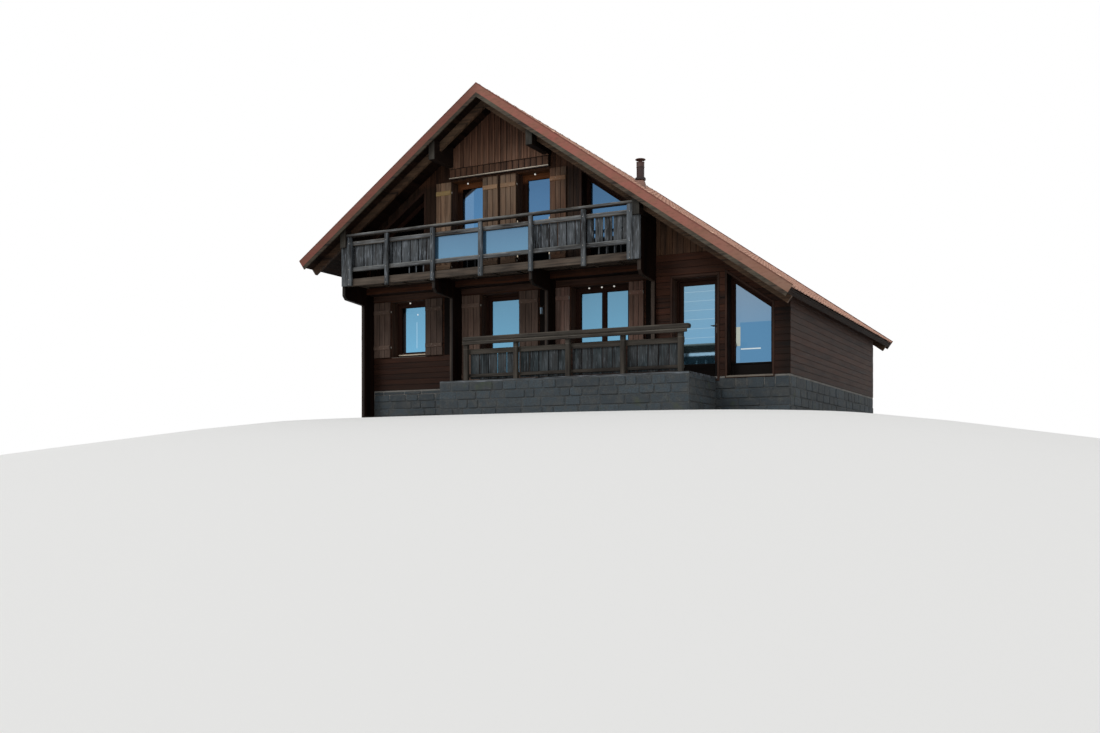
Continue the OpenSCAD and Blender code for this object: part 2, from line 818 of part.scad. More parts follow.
module balcony_panels() {
    color(glass_blue)
        in_frame() for (x = [-post_pitch, 0])
            block([x + panel_side_gap, x + post_pitch - panel_side_gap],
                  [infill_y[0], infill_y[0] + clear_panel_t], infill_z);
}

// Windows: a frame with sashes round an outline, set in a reveal
module upper_doors() {
    color(wood_frame)
        in_frame() along_y(reveal, frame_back)
            for (side = [-1, 1])
                difference() {
                    upper_door_outline(side);
                    intersection() {
                        upper_door_outline(side, frame_w + sash_w);
                        rect([-side_x, side_x], [upper_z + kick_h, ridge_z]);
                    }
                }
}
module gable_windows() {
    color(wood_frame)
        in_frame() along_y(reveal, frame_back)
            for (side = [0, 1]) mirror([side, 0])
                difference() {
                    gable_window_outline();
                    gable_window_outline(frame_w + sash_w / 2);
                }
}
module upper_glass() {
    color(glass_blue)
        in_frame() {
            along_y(glass_y, glass_y + glass_t) {
                for (side = [-1, 1])
                    intersection() {
                        upper_door_outline(side, frame_w + sash_w);
                        rect([-side_x, side_x], [upper_z + kick_h, ridge_z]);
                    }
                for (side = [0, 1]) mirror([side, 0])
                    gable_window_outline(frame_w + sash_w / 2);
            }
            along_y(depth - glass_y - glass_t, depth - glass_y)
                for (side = [-1, 1])
                    casement_holes([side * upper_door_x - upper_door_w / 2,
                                    side * upper_door_x + upper_door_w / 2],
                                   [rear_upper_sill, rear_upper_sill + rear_upper_h], 1);
        }
}
module casement_holes(x, z, panes) {
    rim = frame_w + sash_w;
    pane = (x[1] - x[0] - 2 * rim - (panes - 1) * mullion_w) / panes;
    for (i = [0:panes - 1]) {
        start = x[0] + rim + i * (pane + mullion_w);
        rect([start, start + pane], [z[0] + rim, z[1] - rim]);
    }
}
module casement(x, z, panes) {
    difference() {
        rect(x, z);
        casement_holes(x, z, panes);
    }
}
module front_windows() {
    color(wood_frame)
        in_frame() {
            along_y(bay_y + reveal, bay_y + frame_back) {
                casement(left_window, window_z, 1);
                casement(right_window, window_z, 2);
            }
            along_y(reveal, frame_back) difference() {
                slant_outline();
                intersection() {
                    slant_outline(frame_w + sash_w / 2);
                    rect([0, extension_x], [kick_h + frame_w, ridge_z]);
                }
            }
        }
}
module rear_and_side_windows() {
    color(wood_frame)
        in_frame() {
            along_y(depth - frame_back, depth - reveal) {
                for (x = rear_window_x) casement([x, x + rear_window_w], window_z, 2);
                for (side = [-1, 1])
                    casement([side * upper_door_x - upper_door_w / 2,
                              side * upper_door_x + upper_door_w / 2],
                             [rear_upper_sill, rear_upper_sill + rear_upper_h], 1);
            }
            along_x(-side_x + reveal, -side_x + frame_back)
                for (y = side_window_y) casement([y, y + side_window_w], window_z, 1);
        }
}
module ground_glass() {
    color(glass_blue)
        in_frame() {
            along_y(bay_y + glass_y, bay_y + glass_y + glass_t) {
                casement_holes(left_window, window_z, 1);
                casement_holes(right_window, window_z, 2);
            }
            along_y(glass_y, glass_y + glass_t) intersection() {
                slant_outline(frame_w + sash_w / 2);
                rect([0, extension_x], [kick_h + frame_w, ridge_z]);
            }
            along_y(depth - glass_y - glass_t, depth - glass_y)
                for (x = rear_window_x)
                    casement_holes([x, x + rear_window_w], window_z, 2);
            along_x(-side_x + glass_y, -side_x + glass_y + glass_t)
                for (y = side_window_y)
                    casement_holes([y, y + side_window_w], window_z, 1);
        }
}

// Garden doors: x is the left edge of the opening, y its wall face.
module door_ring(x, w, h, y) {
    along_y(y + reveal, y + frame_back) difference() {
        rect([x, x + w], [0, h]);
        rect([x + frame_w, x + w - frame_w], [-1, h - frame_w]);
    }
}
module leaf_outline(x, w, h, inset = 0) {
    rect([x + frame_w + leaf_gap + inset, x + w - frame_w - lock_gap - inset],
         [leaf_gap + inset, h - frame_w - leaf_gap - inset]);
}
module leaf_glass_outline(x, w, h) {
    intersection() {
        leaf_outline(x, w, h, sash_w);
        rect([x, x + w], [door_kick_h, h]);
    }
}
module door_leaf(x, w, h, y) {
    along_y(y + reveal + leaf_inset, y + frame_back) difference() {
        leaf_outline(x, w, h);
        leaf_glass_outline(x, w, h);
    }
    axis = [x + frame_w, y + frame_back + door_pin_out];
    for (z = hinge_levels(h)) difference() {
        union() {
            translate([axis[0], axis[1], z - knuckle_h / 2])
                cylinder(r = knuckle_r, h = knuckle_h, $fn = 32);
            block([axis[0] + pin_r + 1, axis[0] + knuckle_h / 2],
                  [y + frame_back, axis[1]], [z - knuckle_h / 2, z + knuckle_h / 2]);
        }
        translate([axis[0], axis[1], z - knuckle_h])
            cylinder(r = pin_r + pin_gap, h = 2 * knuckle_h, $fn = 32);
    }
}
function hinge_levels(h) = [for (i = [0:door_hinge_n - 1])
    hinge_end + i * (h - 2 * hinge_end) / (door_hinge_n - 1)];
module door_glass(x, w, h, y) {
    mid = y + reveal + leaf_inset + (leaf_t - glass_t) / 2;
    along_y(mid, mid + glass_t) leaf_glass_outline(x, w, h);
}
module door_pins(x, h, y) {
    axis = [x + frame_w, y + frame_back + door_pin_out];
    for (z = hinge_levels(h)) {
        translate([axis[0], axis[1], z - knuckle_h / 2 - bracket_h])
            cylinder(r = pin_r, h = knuckle_h + 2 * bracket_h, $fn = 32);
        for (end = [-1, 1])
            translate([0, 0, z + end * (knuckle_h + bracket_h + 1) / 2 - bracket_h / 2])
                block([axis[0] - frame_w / 2, axis[0]],
                      [y + frame_back, axis[1] + pin_r], [0, bracket_h]);
    }
}
module french_door() {
    color(wood_frame) in_frame() door_leaf(french_x, french_w, head_z, bay_y);
}
module french_door_glass() {
    color(glass_blue) in_frame() door_glass(french_x, french_w, head_z, bay_y);
}
module extension_door() {
    color(wood_frame)
        in_frame() door_leaf(extension_door_x, extension_door_w, extension_door_h, 0);
}
module extension_door_glass() {
    color(glass_blue)
        in_frame() door_glass(extension_door_x, extension_door_w, extension_door_h, 0);
}
module door_frames() {
    color(wood_frame)
        in_frame() {
            door_ring(french_x, french_w, head_z, bay_y);
            door_ring(extension_door_x, extension_door_w, extension_door_h, 0);
        }
}
module door_hinges() {
    color(metal_dark)
        in_frame() {
            door_pins(french_x, head_z, bay_y);
            door_pins(extension_door_x, extension_door_h, 0);
        }
}

// Shutters: drawn open. The pin line is at a jamb, in front of the wall face y.
// side is -1 for a shutter that folds back to the left and 1 for the right one.
module shutter(pin_x, side, w, z, y) {
    axis_y = y - shutter_pin_out;
    levels = [z[0] + strap_inset, z[1] - strap_inset];
    translate([pin_x, axis_y, 0]) mirror([side < 0 ? 1 : 0, 0, 0]) {
        block([shutter_pin_side, shutter_pin_side + w],
              [-strap_t / 2 - shutter_t, -strap_t / 2], z);
        for (zl = [z[0] + ledge_inset, z[1] - ledge_inset - ledge_h])
            block([shutter_pin_side, shutter_pin_side + w],
                  [-strap_t / 2 - shutter_t - ledge_t, -strap_t / 2 - shutter_t + 1],
                  [zl, zl + ledge_h]);
        for (zs = levels) difference() {
            union() {
                translate([0, 0, zs - strap_h / 2])
                    cylinder(r = knuckle_r, h = strap_h, $fn = 32);
                block([0, strap_l], [-strap_t / 2, strap_t / 2],
                      [zs - strap_h / 2, zs + strap_h / 2]);
            }
            translate([0, 0, zs - strap_h])
                cylinder(r = pin_r + pin_gap, h = 2 * strap_h, $fn = 32);
        }
    }
}
module pintles(pin_x, z, y) {
    for (zs = [z[0] + strap_inset, z[1] - strap_inset]) {
        low = zs - strap_h / 2 - pintle_arm_h - pintle_gap;
        translate([pin_x, y - shutter_pin_out, low])
            cylinder(r = pin_r, h = pintle_arm_h + strap_h, $fn = 32);
        block([pin_x - pin_r, pin_x + pin_r], [y - shutter_pin_out, y],
              [low, low + pintle_arm_h]);
    }
}
module window_shutter_left() {
    color(wood_brown) in_frame()
        shutter(left_window[0], -1, pair_w(left_window_w), window_shutter_z, bay_y);
}
module window_shutter_right() {
    color(wood_brown) in_frame()
        shutter(left_window[1], 1, pair_w(left_window_w), window_shutter_z, bay_y);
}
module french_shutter_left() {
    color(wood_brown) in_frame()
        shutter(french_x, -1, pair_w(french_w), french_shutter_z, bay_y);
}
module french_shutter_right() {
    color(wood_brown) in_frame()
        shutter(french_x + french_w, 1, pair_w(french_w), french_shutter_z, bay_y);
}
module upper_shutter(door_side, side) {
    color(wood_brown) in_frame()
        shutter(door_side * upper_door_x + side * upper_door_w / 2, side,
                shutter_door_w, upper_shutter_z, 0);
}
module shutter_pintles() {
    color(metal_dark) in_frame() {
        for (x = left_window) pintles(x, window_shutter_z, bay_y);
        for (x = [french_x, french_x + french_w]) pintles(x, french_shutter_z, bay_y);
        for (d = [-1, 1]) for (s = [-1, 1])
            pintles(d * upper_door_x + s * upper_door_w / 2, upper_shutter_z, 0);
    }
}
module fold_stack(x0) {
    x = [x0, x0 + fold_leaf_w];
    z = window_shutter_z;
    face = bay_y - fold_stand;
    block(x, [face - 2 * fold_leaf_t, face], z);
    for (zl = [z[0] + ledge_inset, z[1] - ledge_inset - ledge_h])
        block(x, [face - 2 * fold_leaf_t - ledge_t, face - fold_leaf_t],
              [zl, zl + ledge_h]);
    for (zp = [z[0] + strap_inset, z[1] - strap_inset])
        block([x0 + (fold_leaf_w - fold_pad) / 2, x0 + (fold_leaf_w + fold_pad) / 2],
              [face - 1, bay_y], [zp - fold_pad / 2, zp + fold_pad / 2]);
}
module folding_shutters() {
    color(wood_brown) in_frame() {
        fold_stack(right_window[0] - shutter_pin_side - fold_leaf_w);
        fold_stack(right_window[1] + shutter_pin_side);
    }
}

// Terrace
module terrace_base() {
    z = [-base_depth, terrace_top];
    t = terrace_wall_t;
    color(stone_grey) in_frame() {
        block([terrace_x0, terrace_x1], [-terrace_y, -terrace_y + t], z);
        block([terrace_x0, terrace_x0 + t], [-terrace_y + t - 1, bay_y], z);
        block([terrace_x1 - t, terrace_x1], [-terrace_y + t - 1, 0], z);
    }
}
module terrace_deck() {
    z = [terrace_top, -terrace_drop];
    color(wood_grey) in_frame() difference() {
        union() {
            block([terrace_x0, terrace_x1], [-terrace_y, 0], z);
            block([terrace_x0, side_x - wing_t], [-1, bay_y], z);
        }
        block([inner_wing_x - wing_t / 2, inner_wing_x + wing_t / 2],
              [-wing_front, bay_y + 1], [-base_depth, 0]);
        block([side_x - wing_t, side_x], [-wing_front, bay_y], [-base_depth, 0]);
    }
}
module terrace_posts() {
    top = terrace_rail_z - terrace_handrail_h;
    color(wood_grey) in_frame()
        for (i = [0:terrace_bays]) {
            x = terrace_x[0] + i * terrace_pitch;
            block([x - terrace_post_w / 2, x + terrace_post_w / 2], terrace_rail_y,
                  [-terrace_drop, top]);
        }
}
module terrace_rails() {
    top = terrace_rail_z;
    x0 = terrace_x[0] - terrace_post_w / 2;
    x1 = terrace_x[1] + terrace_post_w / 2;
    back = terrace_rail_y[1];
    color(wood_grey) in_frame() {
        block([x0, x1 + terrace_rail_over], [terrace_rail_y[0] - terrace_rail_front, back + terrace_rail_back],
              [top - terrace_handrail_h, top]);
        block([x0, x1 + terrace_under_over],
              [terrace_rail_y[0] - terrace_flat_t, terrace_rail_y[0]],
              [top - terrace_handrail_h - terrace_under_h, top - terrace_handrail_h + 1]);
        block([x0, x1], [back, back + terrace_flat_t],
              [terrace_mid_low, terrace_mid_low + terrace_mid_h]);
        block([x0, x1], [back, back + terrace_flat_t],
              [terrace_low_low, terrace_low_low + terrace_low_h]);
    }
}
module terrace_boards() {
    color(wood_grey) in_frame()
        for (i = [0:terrace_bays - 1]) {
            clear_w = terrace_pitch - terrace_post_w;
            step = clear_w / terrace_boards_n;
            start = terrace_x[0] + i * terrace_pitch + terrace_post_w / 2;
            for (k = [0:terrace_boards_n - 1])
                block([start + (k + 0.5) * step - terrace_board_w / 2,
                       start + (k + 0.5) * step + terrace_board_w / 2],
                      [terrace_rail_y[1] + terrace_flat_t,
                       terrace_rail_y[1] + terrace_flat_t + terrace_board_t],
                      [terrace_board_low, terrace_mid_low + terrace_board_lap]);
        }
}

foundation();
terrace_base();
terrace_deck();
terrace_posts();
terrace_rails();
terrace_boards();
ground_floor();
upper_floor();
front_wall_left();
front_wall_right();
front_wall_lintel();
extension_wall_left();
extension_wall_lintel();
extension_wall_right();
left_wall();
right_wall();
rear_wall();
upper_front_wall();
gable_panel();
drip_rail();
outer_wing_walls();
inner_wing_walls();
purlins();
overhang_rafters();
roof_left();
roof_right();
roof_tiles();
verge_boards();
verge_trims();
chimney();
balcony_deck();
balcony_beam();
balcony_posts();
balcony_rails();
balcony_boards();
balcony_panels();
upper_doors();
gable_windows();
upper_glass();
front_windows();
rear_and_side_windows();
ground_glass();
door_frames();
door_hinges();
shutter_pintles();
folding_shutters();
french_door();
french_door_glass();
extension_door();
extension_door_glass();
window_shutter_left();
window_shutter_right();
french_shutter_left();
french_shutter_right();
upper_shutter(-1, -1);  // upper_shutter_1
upper_shutter(-1, 1);  // upper_shutter_2
upper_shutter(1, -1);  // upper_shutter_3
upper_shutter(1, 1);  // upper_shutter_4
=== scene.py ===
# Alpine chalet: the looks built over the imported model.
# Measures are metres. House measures run from the ridge line (x), the upper front wall (y)
# and the ground floor level (z); toRow moves them into the row frame.
import math
import random

import bmesh
import bpy
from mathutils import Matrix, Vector


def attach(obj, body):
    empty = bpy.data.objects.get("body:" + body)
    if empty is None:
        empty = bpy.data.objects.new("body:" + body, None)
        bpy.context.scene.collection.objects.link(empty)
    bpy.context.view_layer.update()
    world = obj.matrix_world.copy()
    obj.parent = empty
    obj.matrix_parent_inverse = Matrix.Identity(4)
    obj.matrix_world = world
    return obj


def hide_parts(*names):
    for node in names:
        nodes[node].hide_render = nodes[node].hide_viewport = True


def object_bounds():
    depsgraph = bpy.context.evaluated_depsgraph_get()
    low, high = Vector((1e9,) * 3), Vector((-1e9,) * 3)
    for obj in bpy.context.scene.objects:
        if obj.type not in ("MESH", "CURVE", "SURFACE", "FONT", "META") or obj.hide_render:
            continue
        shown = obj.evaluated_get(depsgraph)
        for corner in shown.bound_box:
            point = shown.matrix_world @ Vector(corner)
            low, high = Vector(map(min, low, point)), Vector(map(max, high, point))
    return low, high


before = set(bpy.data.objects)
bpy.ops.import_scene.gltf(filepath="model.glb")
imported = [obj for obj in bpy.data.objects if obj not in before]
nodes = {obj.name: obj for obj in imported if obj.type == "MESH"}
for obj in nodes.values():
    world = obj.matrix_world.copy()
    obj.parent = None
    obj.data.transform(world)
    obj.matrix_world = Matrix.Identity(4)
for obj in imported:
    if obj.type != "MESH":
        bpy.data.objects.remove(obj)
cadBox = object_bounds()
print("stage: frame loaded,", len(nodes), "nodes")

toRow = Vector((-1.045, -3.910, 0.8))
house = {"pitch": math.radians(35.3), "ridgeZ": 6.6, "roofThick": 0.2, "seat": 0.0003, "leftEave": 4.96,
         "rightEave": 7.05, "wallX": 3.83, "sideX": 6.71, "rearY": 8.4, "bayY": 0.3, "upperZ": 2.55,
         "headZ": 2.17, "sillZ": 0.8}
slope = math.tan(house["pitch"])
cosPitch = math.cos(house["pitch"])
sinPitch = math.sin(house["pitch"])
wallX, sideX, rearY, bayY = (house[key] for key in ("wallX", "sideX", "rearY", "bayY"))
upperZ, headZ, sillZ = (house[key] for key in ("upperZ", "headZ", "sillZ"))


def roofTop(x):
    return house["ridgeZ"] - abs(x) * slope


def soffit(x):
    return roofTop(x) - house["roofThick"] / cosPitch - house["seat"]


def srgb(red, green, blue):
    def linear(value):
        value /= 255
        return value / 12.92 if value <= 0.04045 else ((value + 0.055) / 1.055) ** 2.4
    return (linear(red), linear(green), linear(blue))


# shader nodes: a net writes into one material or one node group
class Net:
    def __init__(self, tree):
        self.tree = tree

    def fill(self, sockets, values):
        for key, value in dict(values).items():
            socket = sockets[key]
            if isinstance(value, bpy.types.NodeSocket):
                self.tree.links.new(value, socket)
            else:
                socket.default_value = (*value, 1) if socket.type == "RGBA" else value

    def node(self, kind, inputs=(), **values):
        node = self.tree.nodes.new("ShaderNode" + kind)
        for key, value in values.items():
            setattr(node, key, value)
        self.fill(node.inputs, inputs)
        return node

    def math(self, operation, *values, clamp=False):
        return self.node("Math", enumerate(values), operation=operation, use_clamp=clamp).outputs[0]

    def times(self, *values, clamp=False):
        return self.math("MULTIPLY", *values, clamp=clamp)

    def vector(self, operation, *values):
        return self.node("VectorMath", enumerate(values), operation=operation).outputs[0]

    def mix(self, factor, first, second, blend="MIX"):
        values = {0: factor, 6: first, 7: second}
        return self.node("Mix", values, data_type="RGBA", blend_type=blend).outputs[2]

    def ramp(self, value, low, high):
        return self.node("MapRange", {0: value, 1: low, 2: high}).outputs[0]

    def noise(self, vector, scale, detail=3.0, stretch=(1, 1, 1), rough=0.55):
        mapped = self.node("Mapping", {"Vector": vector, "Scale": stretch}).outputs[0]
        values = {"Vector": mapped, "Scale": scale, "Detail": detail, "Roughness": rough}
        return self.node("TexNoise", values).outputs["Fac"]

    def group(self, tree, **inputs):
        return self.node("Group", inputs, node_tree=tree).outputs

    def spot(self):  # the place on the object, whole and by axis
        place = self.node("TexCoord").outputs["Object"]
        return place, self.node("SeparateXYZ", {0: place}).outputs

    def tone(self):  # each face of a piece built here carries one
        return self.node("Attribute", attribute_name="tone").outputs["Fac"]

    def grain(self):
        return self.node("UVMap", uv_map="grain").outputs["UV"]

    def band(self, value, low, high, soft):  # full between two limits, with soft ends
        return self.times(self.ramp(value, low - soft, low), self.ramp(value, high + soft, high))

    def tint(self, color, mask, shade):  # the colour times a shade where the mask is full
        return self.mix(mask, color, self.mix(1.0, color, shade, "MULTIPLY"))

    def over(self, color, value, low, high, shade, amount=1.0):  # a colour laid on past a ramp
        return self.mix(self.times(self.ramp(value, low, high), amount), color, srgb(*shade))

    def bump(self, shader, height, strength, distance):
        values = {"Height": height, "Strength": strength, "Distance": distance}
        self.fill(shader, {"Normal": self.node("Bump", values).outputs["Normal"]})


def newGroup(name, inputs, outputs):
    tree = bpy.data.node_groups.new(name, "ShaderNodeTree")
    kinds = {type(None): "NodeSocketVector", float: "NodeSocketFloat", tuple: "NodeSocketColor"}
    for label, value in inputs.items():
        socket = tree.interface.new_socket(name=label, in_out="INPUT", socket_type=kinds[type(value)])
        if value is not None:
            socket.default_value = value
    for label in outputs:
        kind = "NodeSocketColor" if label == "Color" else "NodeSocketFloat"
        tree.interface.new_socket(name=label, in_out="OUTPUT", socket_type=kind)
    return Net(tree), tree.nodes.new("NodeGroupInput").outputs, tree.nodes.new("NodeGroupOutput").inputs


# one grain for all timber: x of the vector runs along the board, y across it
def makeTimberGrain():
    net, given, out = newGroup("timberGrain", {
        "Vector": None, "Tone": 0.5, "Light": (0.2, 0.12, 0.08, 1), "Dark": (0.05, 0.03, 0.02, 1),
        "Weather": (0.25, 0.25, 0.25, 1), "Weathering": 0.2, "Contrast": 0.5},
        ("Color", "Roughness", "Height"))
    vector, dark = given["Vector"], given["Dark"]
    broad = net.noise(vector, 3.2, 3, (0.35, 3.0, 1))
    streak = net.noise(vector, 9, 4, (0.12, 3.2, 1))
    fibre = net.noise(vector, 60, 3, (0.06, 2.6, 1))
    patch = net.noise(vector, 1.3, 4, (0.8, 1.6, 1))
    squeezed = net.node("Mapping", {"Vector": vector, "Scale": (0.9, 3.4, 1)}).outputs[0]
    knots = net.node("TexVoronoi", {"Vector": squeezed, "Scale": 1.7}, feature="F1").outputs["Distance"]
    grain = net.math("MULTIPLY_ADD", broad, 0.45, net.times(streak, 0.55))
    grain = net.times(net.math("SUBTRACT", grain, 0.5), given["Contrast"])
    grain = net.math("MULTIPLY_ADD", grain, 3.2, given["Tone"], clamp=True)
    cracks = net.ramp(fibre, 0.40, 0.30)
    color = net.mix(grain, dark, given["Light"])
    color = net.mix(net.times(cracks, 0.35), color, dark)
    color = net.mix(net.times(net.ramp(knots, 0.09, 0.035), 0.6), color, dark)
    worn = net.times(net.ramp(patch, 0.38, 0.72), given["Weathering"], clamp=True)
    worn = net.times(worn, net.math("MULTIPLY_ADD", streak, 0.8, 0.6), clamp=True)
    net.fill(out, {"Color": net.mix(worn, color, given["Weather"]),
                   "Roughness": net.math("MULTIPLY_ADD", streak, 0.25, 0.55),
                   "Height": net.math("SUBTRACT", streak, net.times(cracks, 0.5))})
    return net.tree


# grooves between boards where the solid stays plain
def makeBoardLines():
    net, given, out = newGroup("boardLines", {"Across": 0.0, "Width": 0.14}, ("Groove", "Board"))
    count = net.math("DIVIDE", given["Across"], given["Width"])
    away = net.math("ABSOLUTE", net.math("SUBTRACT", net.math("FRACT", count), 0.5))
    board = net.node("TexWhiteNoise", noise_dimensions="1D")
    net.fill(board.inputs, {"W": net.math("FLOOR", count)})
    net.fill(out, {"Groove": net.ramp(away, 0.455, 0.485), "Board": board.outputs["Value"]})
    return net.tree


# dirt that gathers in patches and streaks down a surface
def makeDust():
    inputs = {"Vector": None, "Scale": 2.0, "Amount": 0.4}
    net, given, out = newGroup("dustPatches", inputs, ("Mask", "Height"))
    values = {"Vector": given["Vector"], "Scale": given["Scale"], "Detail": 5}
    wide = net.node("TexNoise", values).outputs["Fac"]
    fine = net.noise(given["Vector"], 40, 4)
    mask = net.times(net.ramp(wide, 0.42, 0.68), given["Amount"])
    net.fill(out, {"Mask": net.times(mask, net.ramp(fine, 0.25, 0.6), clamp=True), "Height": fine})
    return net.tree


timberGrain = makeTimberGrain()
boardLines = makeBoardLines()
dustPatches = makeDust()
materials = {}


def newMaterial(name):
    material = materials[name] = bpy.data.materials.new(name)
    material.use_nodes = True
    return Net(material.node_tree), material.node_tree.nodes["Principled BSDF"].inputs


# tints by place, mostly painted shade and painted highlights: shade fades in past a line, bands lie between
# two
def placeTints(net, color, look):
    parts = net.spot()[1]
    for axis, low, high, shade in look.get("shade", []):
        color = net.tint(color, net.ramp(parts[axis], low, high), shade)
    for axis, low, high, shade in look.get("bands", []):
        color = net.tint(color, net.band(parts[axis], low, high, 0.003), shade)
    return color


# timber on pieces built here reads its own UV and tone; on CAD nodes it reads object coordinates
def timberMaterial(name, look):
    net, shader = newMaterial(name)
    parts = net.spot()[1]
    shades = {key.title(): tuple(look["level"] * c for c in srgb(*look[key]))
              for key in ("light", "dark", "weather")}
    lowTone = look["tone"] - look["spread"] / 2
    if "along" in look:
        run, up, back = {"x": "XZY", "y": "YZX", "z": "ZXY"}[look["along"]]
        across = net.math("MULTIPLY_ADD", parts[back], 0.73, parts[up])
        vector, tone = net.node("CombineXYZ", {0: parts[run], 1: across}).outputs[0], look["tone"]
    else:
        vector = net.grain()
        tone = net.math("MULTIPLY_ADD", net.tone(), look["spread"], lowTone)
    if "lines" in look:
        axis, width = look["lines"]
        lines = net.group(boardLines, Across=parts[axis], Width=width)
        tone = net.math("MULTIPLY_ADD", lines["Board"], look["spread"], lowTone)
    grain = net.group(timberGrain, Vector=vector, Tone=tone, Weathering=look["weathering"],
                      Contrast=look["contrast"], **shades)
    color, height = grain["Color"], grain["Height"]
    if "lines" in look:
        color = net.mix(lines["Groove"], color, tuple(0.25 * c for c in shades["Dark"]))
        height = net.math("MULTIPLY_ADD", lines["Groove"], -6.0, height)
    if "flecks" in look:  # bleached fibres stand out on old grey wood
        fleck = net.noise(vector, 14, 4, (0.3, 2.2, 1))
        color = net.over(color, fleck, 0.54, 0.68, (148, 155, 164), look["flecks"])
    net.fill(shader, {"Base Color": placeTints(net, color, look), "Roughness": grain["Roughness"],
                      "Specular IOR Level": look["specular"]})
    net.bump(shader, height, look.get("bump", 0.45), 0.004)


def plainMaterial(name, look):
    net, shader = newMaterial(name)
    dust = net.group(dustPatches, Vector=net.spot()[0], Scale=3.0, Amount=look["dirt"])
    color = net.mix(dust["Mask"], srgb(*look["color"]), srgb(*look["dirtColor"]))
    rough = net.math("MULTIPLY_ADD", dust["Mask"], 0.3, look["rough"])
    net.fill(shader, {"Base Color": placeTints(net, color, look), "Roughness": rough,
                      "Metallic": look.get("metallic", 0.0)})
    net.bump(shader, dust["Height"], look.get("bump", 0.15), 0.002)


# colours here are screen values from 0 to 255, and level scales them; tints in shade and bands are factors
looks = {
    "darkPlank": dict(light=(92, 58, 44), dark=(28, 16, 11), weather=(104, 78, 64), specular=0.12,
                      weathering=0.3, spread=0.5, tone=0.45, contrast=0.8, level=0.45),
    "brownBoard": dict(light=(112, 80, 60), dark=(40, 26, 19), weather=(124, 100, 84), specular=0.12,
                       weathering=0.3, spread=0.6, tone=0.5, contrast=0.9, level=0.24),
    "shutterWood": dict(light=(140, 112, 90), dark=(56, 40, 31), weather=(152, 134, 114), specular=0.15,
                        weathering=0.35, spread=0.35, tone=0.58, contrast=0.9, level=0.62),
    "greyTimber": dict(light=(150, 160, 168), dark=(30, 30, 31), weather=(196, 202, 206), specular=0.15,
                       weathering=0.6, spread=0.6, tone=0.4, contrast=2.3, bump=0.9, level=0.23, flecks=0.35),
    "greyBrown": dict(light=(124, 106, 92), dark=(40, 31, 26), weather=(150, 138, 124), specular=0.15,
                      weathering=0.5, spread=0.5, tone=0.5, contrast=1.2, bump=0.7, level=0.42),
    "joinery": dict(light=(100, 60, 44), dark=(42, 23, 17), weather=(112, 78, 60), specular=0.1,
                    weathering=0.2, spread=0.3, tone=0.5, contrast=0.5, level=0.26),
}


def vary(name, base, **changes):
    looks[name] = {**looks[base], **changes}


lowShade = ("Z", 1.75, 1.45, (0.4, 0.38, 0.36))  # painted shade: the low planks are darkened
doorFootShade = ("Z", 1.2, 1.08, (0.12, 0.13, 0.14))  # painted shade: and so are the feet of the doors
# painted shade: the panel darkens towards its top under the roof; below the seam the lower tier is tinted
# darker
vary("gableBoard", "brownBoard", light=(118, 86, 68), level=0.95, spread=0.4,
     shade=[("Z", 5.95, 6.7, (0.6, 0.52, 0.5)), ("Z", 5.875, 5.865, (0.66, 0.64, 0.62))])
# painted light: the upper boards are brightened above the shutter heads
vary("upperBoard", "brownBoard", shade=[("Z", 5.50, 5.62, (1.9, 1.6, 1.45))])
vary("extensionBoard", "brownBoard", light=(112, 80, 58), level=0.72, spread=0.4)
# painted shade: the planks right of the slanted window are darkened; they also darken towards the foot
vary("extensionPlank", "darkPlank", light=(98, 56, 38), weather=(106, 70, 50), level=0.47,
     shade=[("X", 5.2, 5.6, (0.35, 0.4, 0.42)), ("Z", 2.4, 1.2, (0.55, 0.6, 0.65))])
# painted shade low down and in the strip under the balcony beam, painted light on the band above the windows
vary("lowPlank", "darkPlank", light=(102, 60, 40), weather=(106, 72, 52), level=0.5,
     shade=[lowShade, ("Z", 2.96, 3.02, (1.3, 1.15, 0.95)), ("Z", 3.20, 3.24, (0.6, 0.6, 0.6))])
# painted shade: a darker copy of the shutter wood for a leaf in shade; the band is a painted highlight on its
# upper ledge
vary("shutterDark", "shutterWood", light=(140, 100, 76), level=0.5,
     bands=[("Z", 5.292, 5.402, (1.45, 1.35, 1.2))])
# painted shade: the ground-floor shutters are a darker copy of the shutter wood
vary("lowShutter", "shutterWood", light=(132, 106, 92), weather=(140, 122, 110), level=0.37)
# painted light: a paler copy, brighter still on the left folded stack
vary("lowShutterPale", "lowShutter", light=(138, 104, 90), level=0.58,
     bands=[("X", 0.25, 0.61, (1.35, 1.45, 1.55))])
# painted light: a paler copy for the lit left garden shutter
vary("gardenShutter", "lowShutter", level=0.52)
# painted shade: a darker copy for the leaf in deepest shade
vary("lowShutterDark", "lowShutter", level=0.26)
# painted light: a brighter copy for a lit leaf, with a painted highlight on its upper ledge
vary("shutterPale", "shutterWood", level=1.15, bands=[("Z", 5.292, 5.402, (1.2, 1.25, 0.85))])
# painted highlight on the upper ledge of the other upper shutters and the CAD ones
vary("shutterWood", "shutterWood", bands=[("Z", 5.292, 5.402, (1.45, 1.35, 1.2))])
vary("shutterCad", "shutterWood", along="z", lines=("X", 0.12))
# painted highlights along the top edges of the rails and handrail, painted shade along their undersides
vary("railTimber", "greyTimber", light=(150, 148, 144), dark=(44, 40, 38), level=0.27, flecks=0.25,
     bands=[("Z", 4.240, 4.262, (1.8, 1.7, 1.6)), ("Z", 3.632, 3.652, (1.7, 1.7, 1.65)),
            ("Z", 4.155, 4.178, (0.5, 0.42, 0.36)), ("Z", 3.545, 3.562, (0.45, 0.42, 0.4)),
            ("Z", 4.415, 4.440, (2.0, 1.95, 1.8)), ("Z", 4.360, 4.386, (0.3, 0.24, 0.2))])
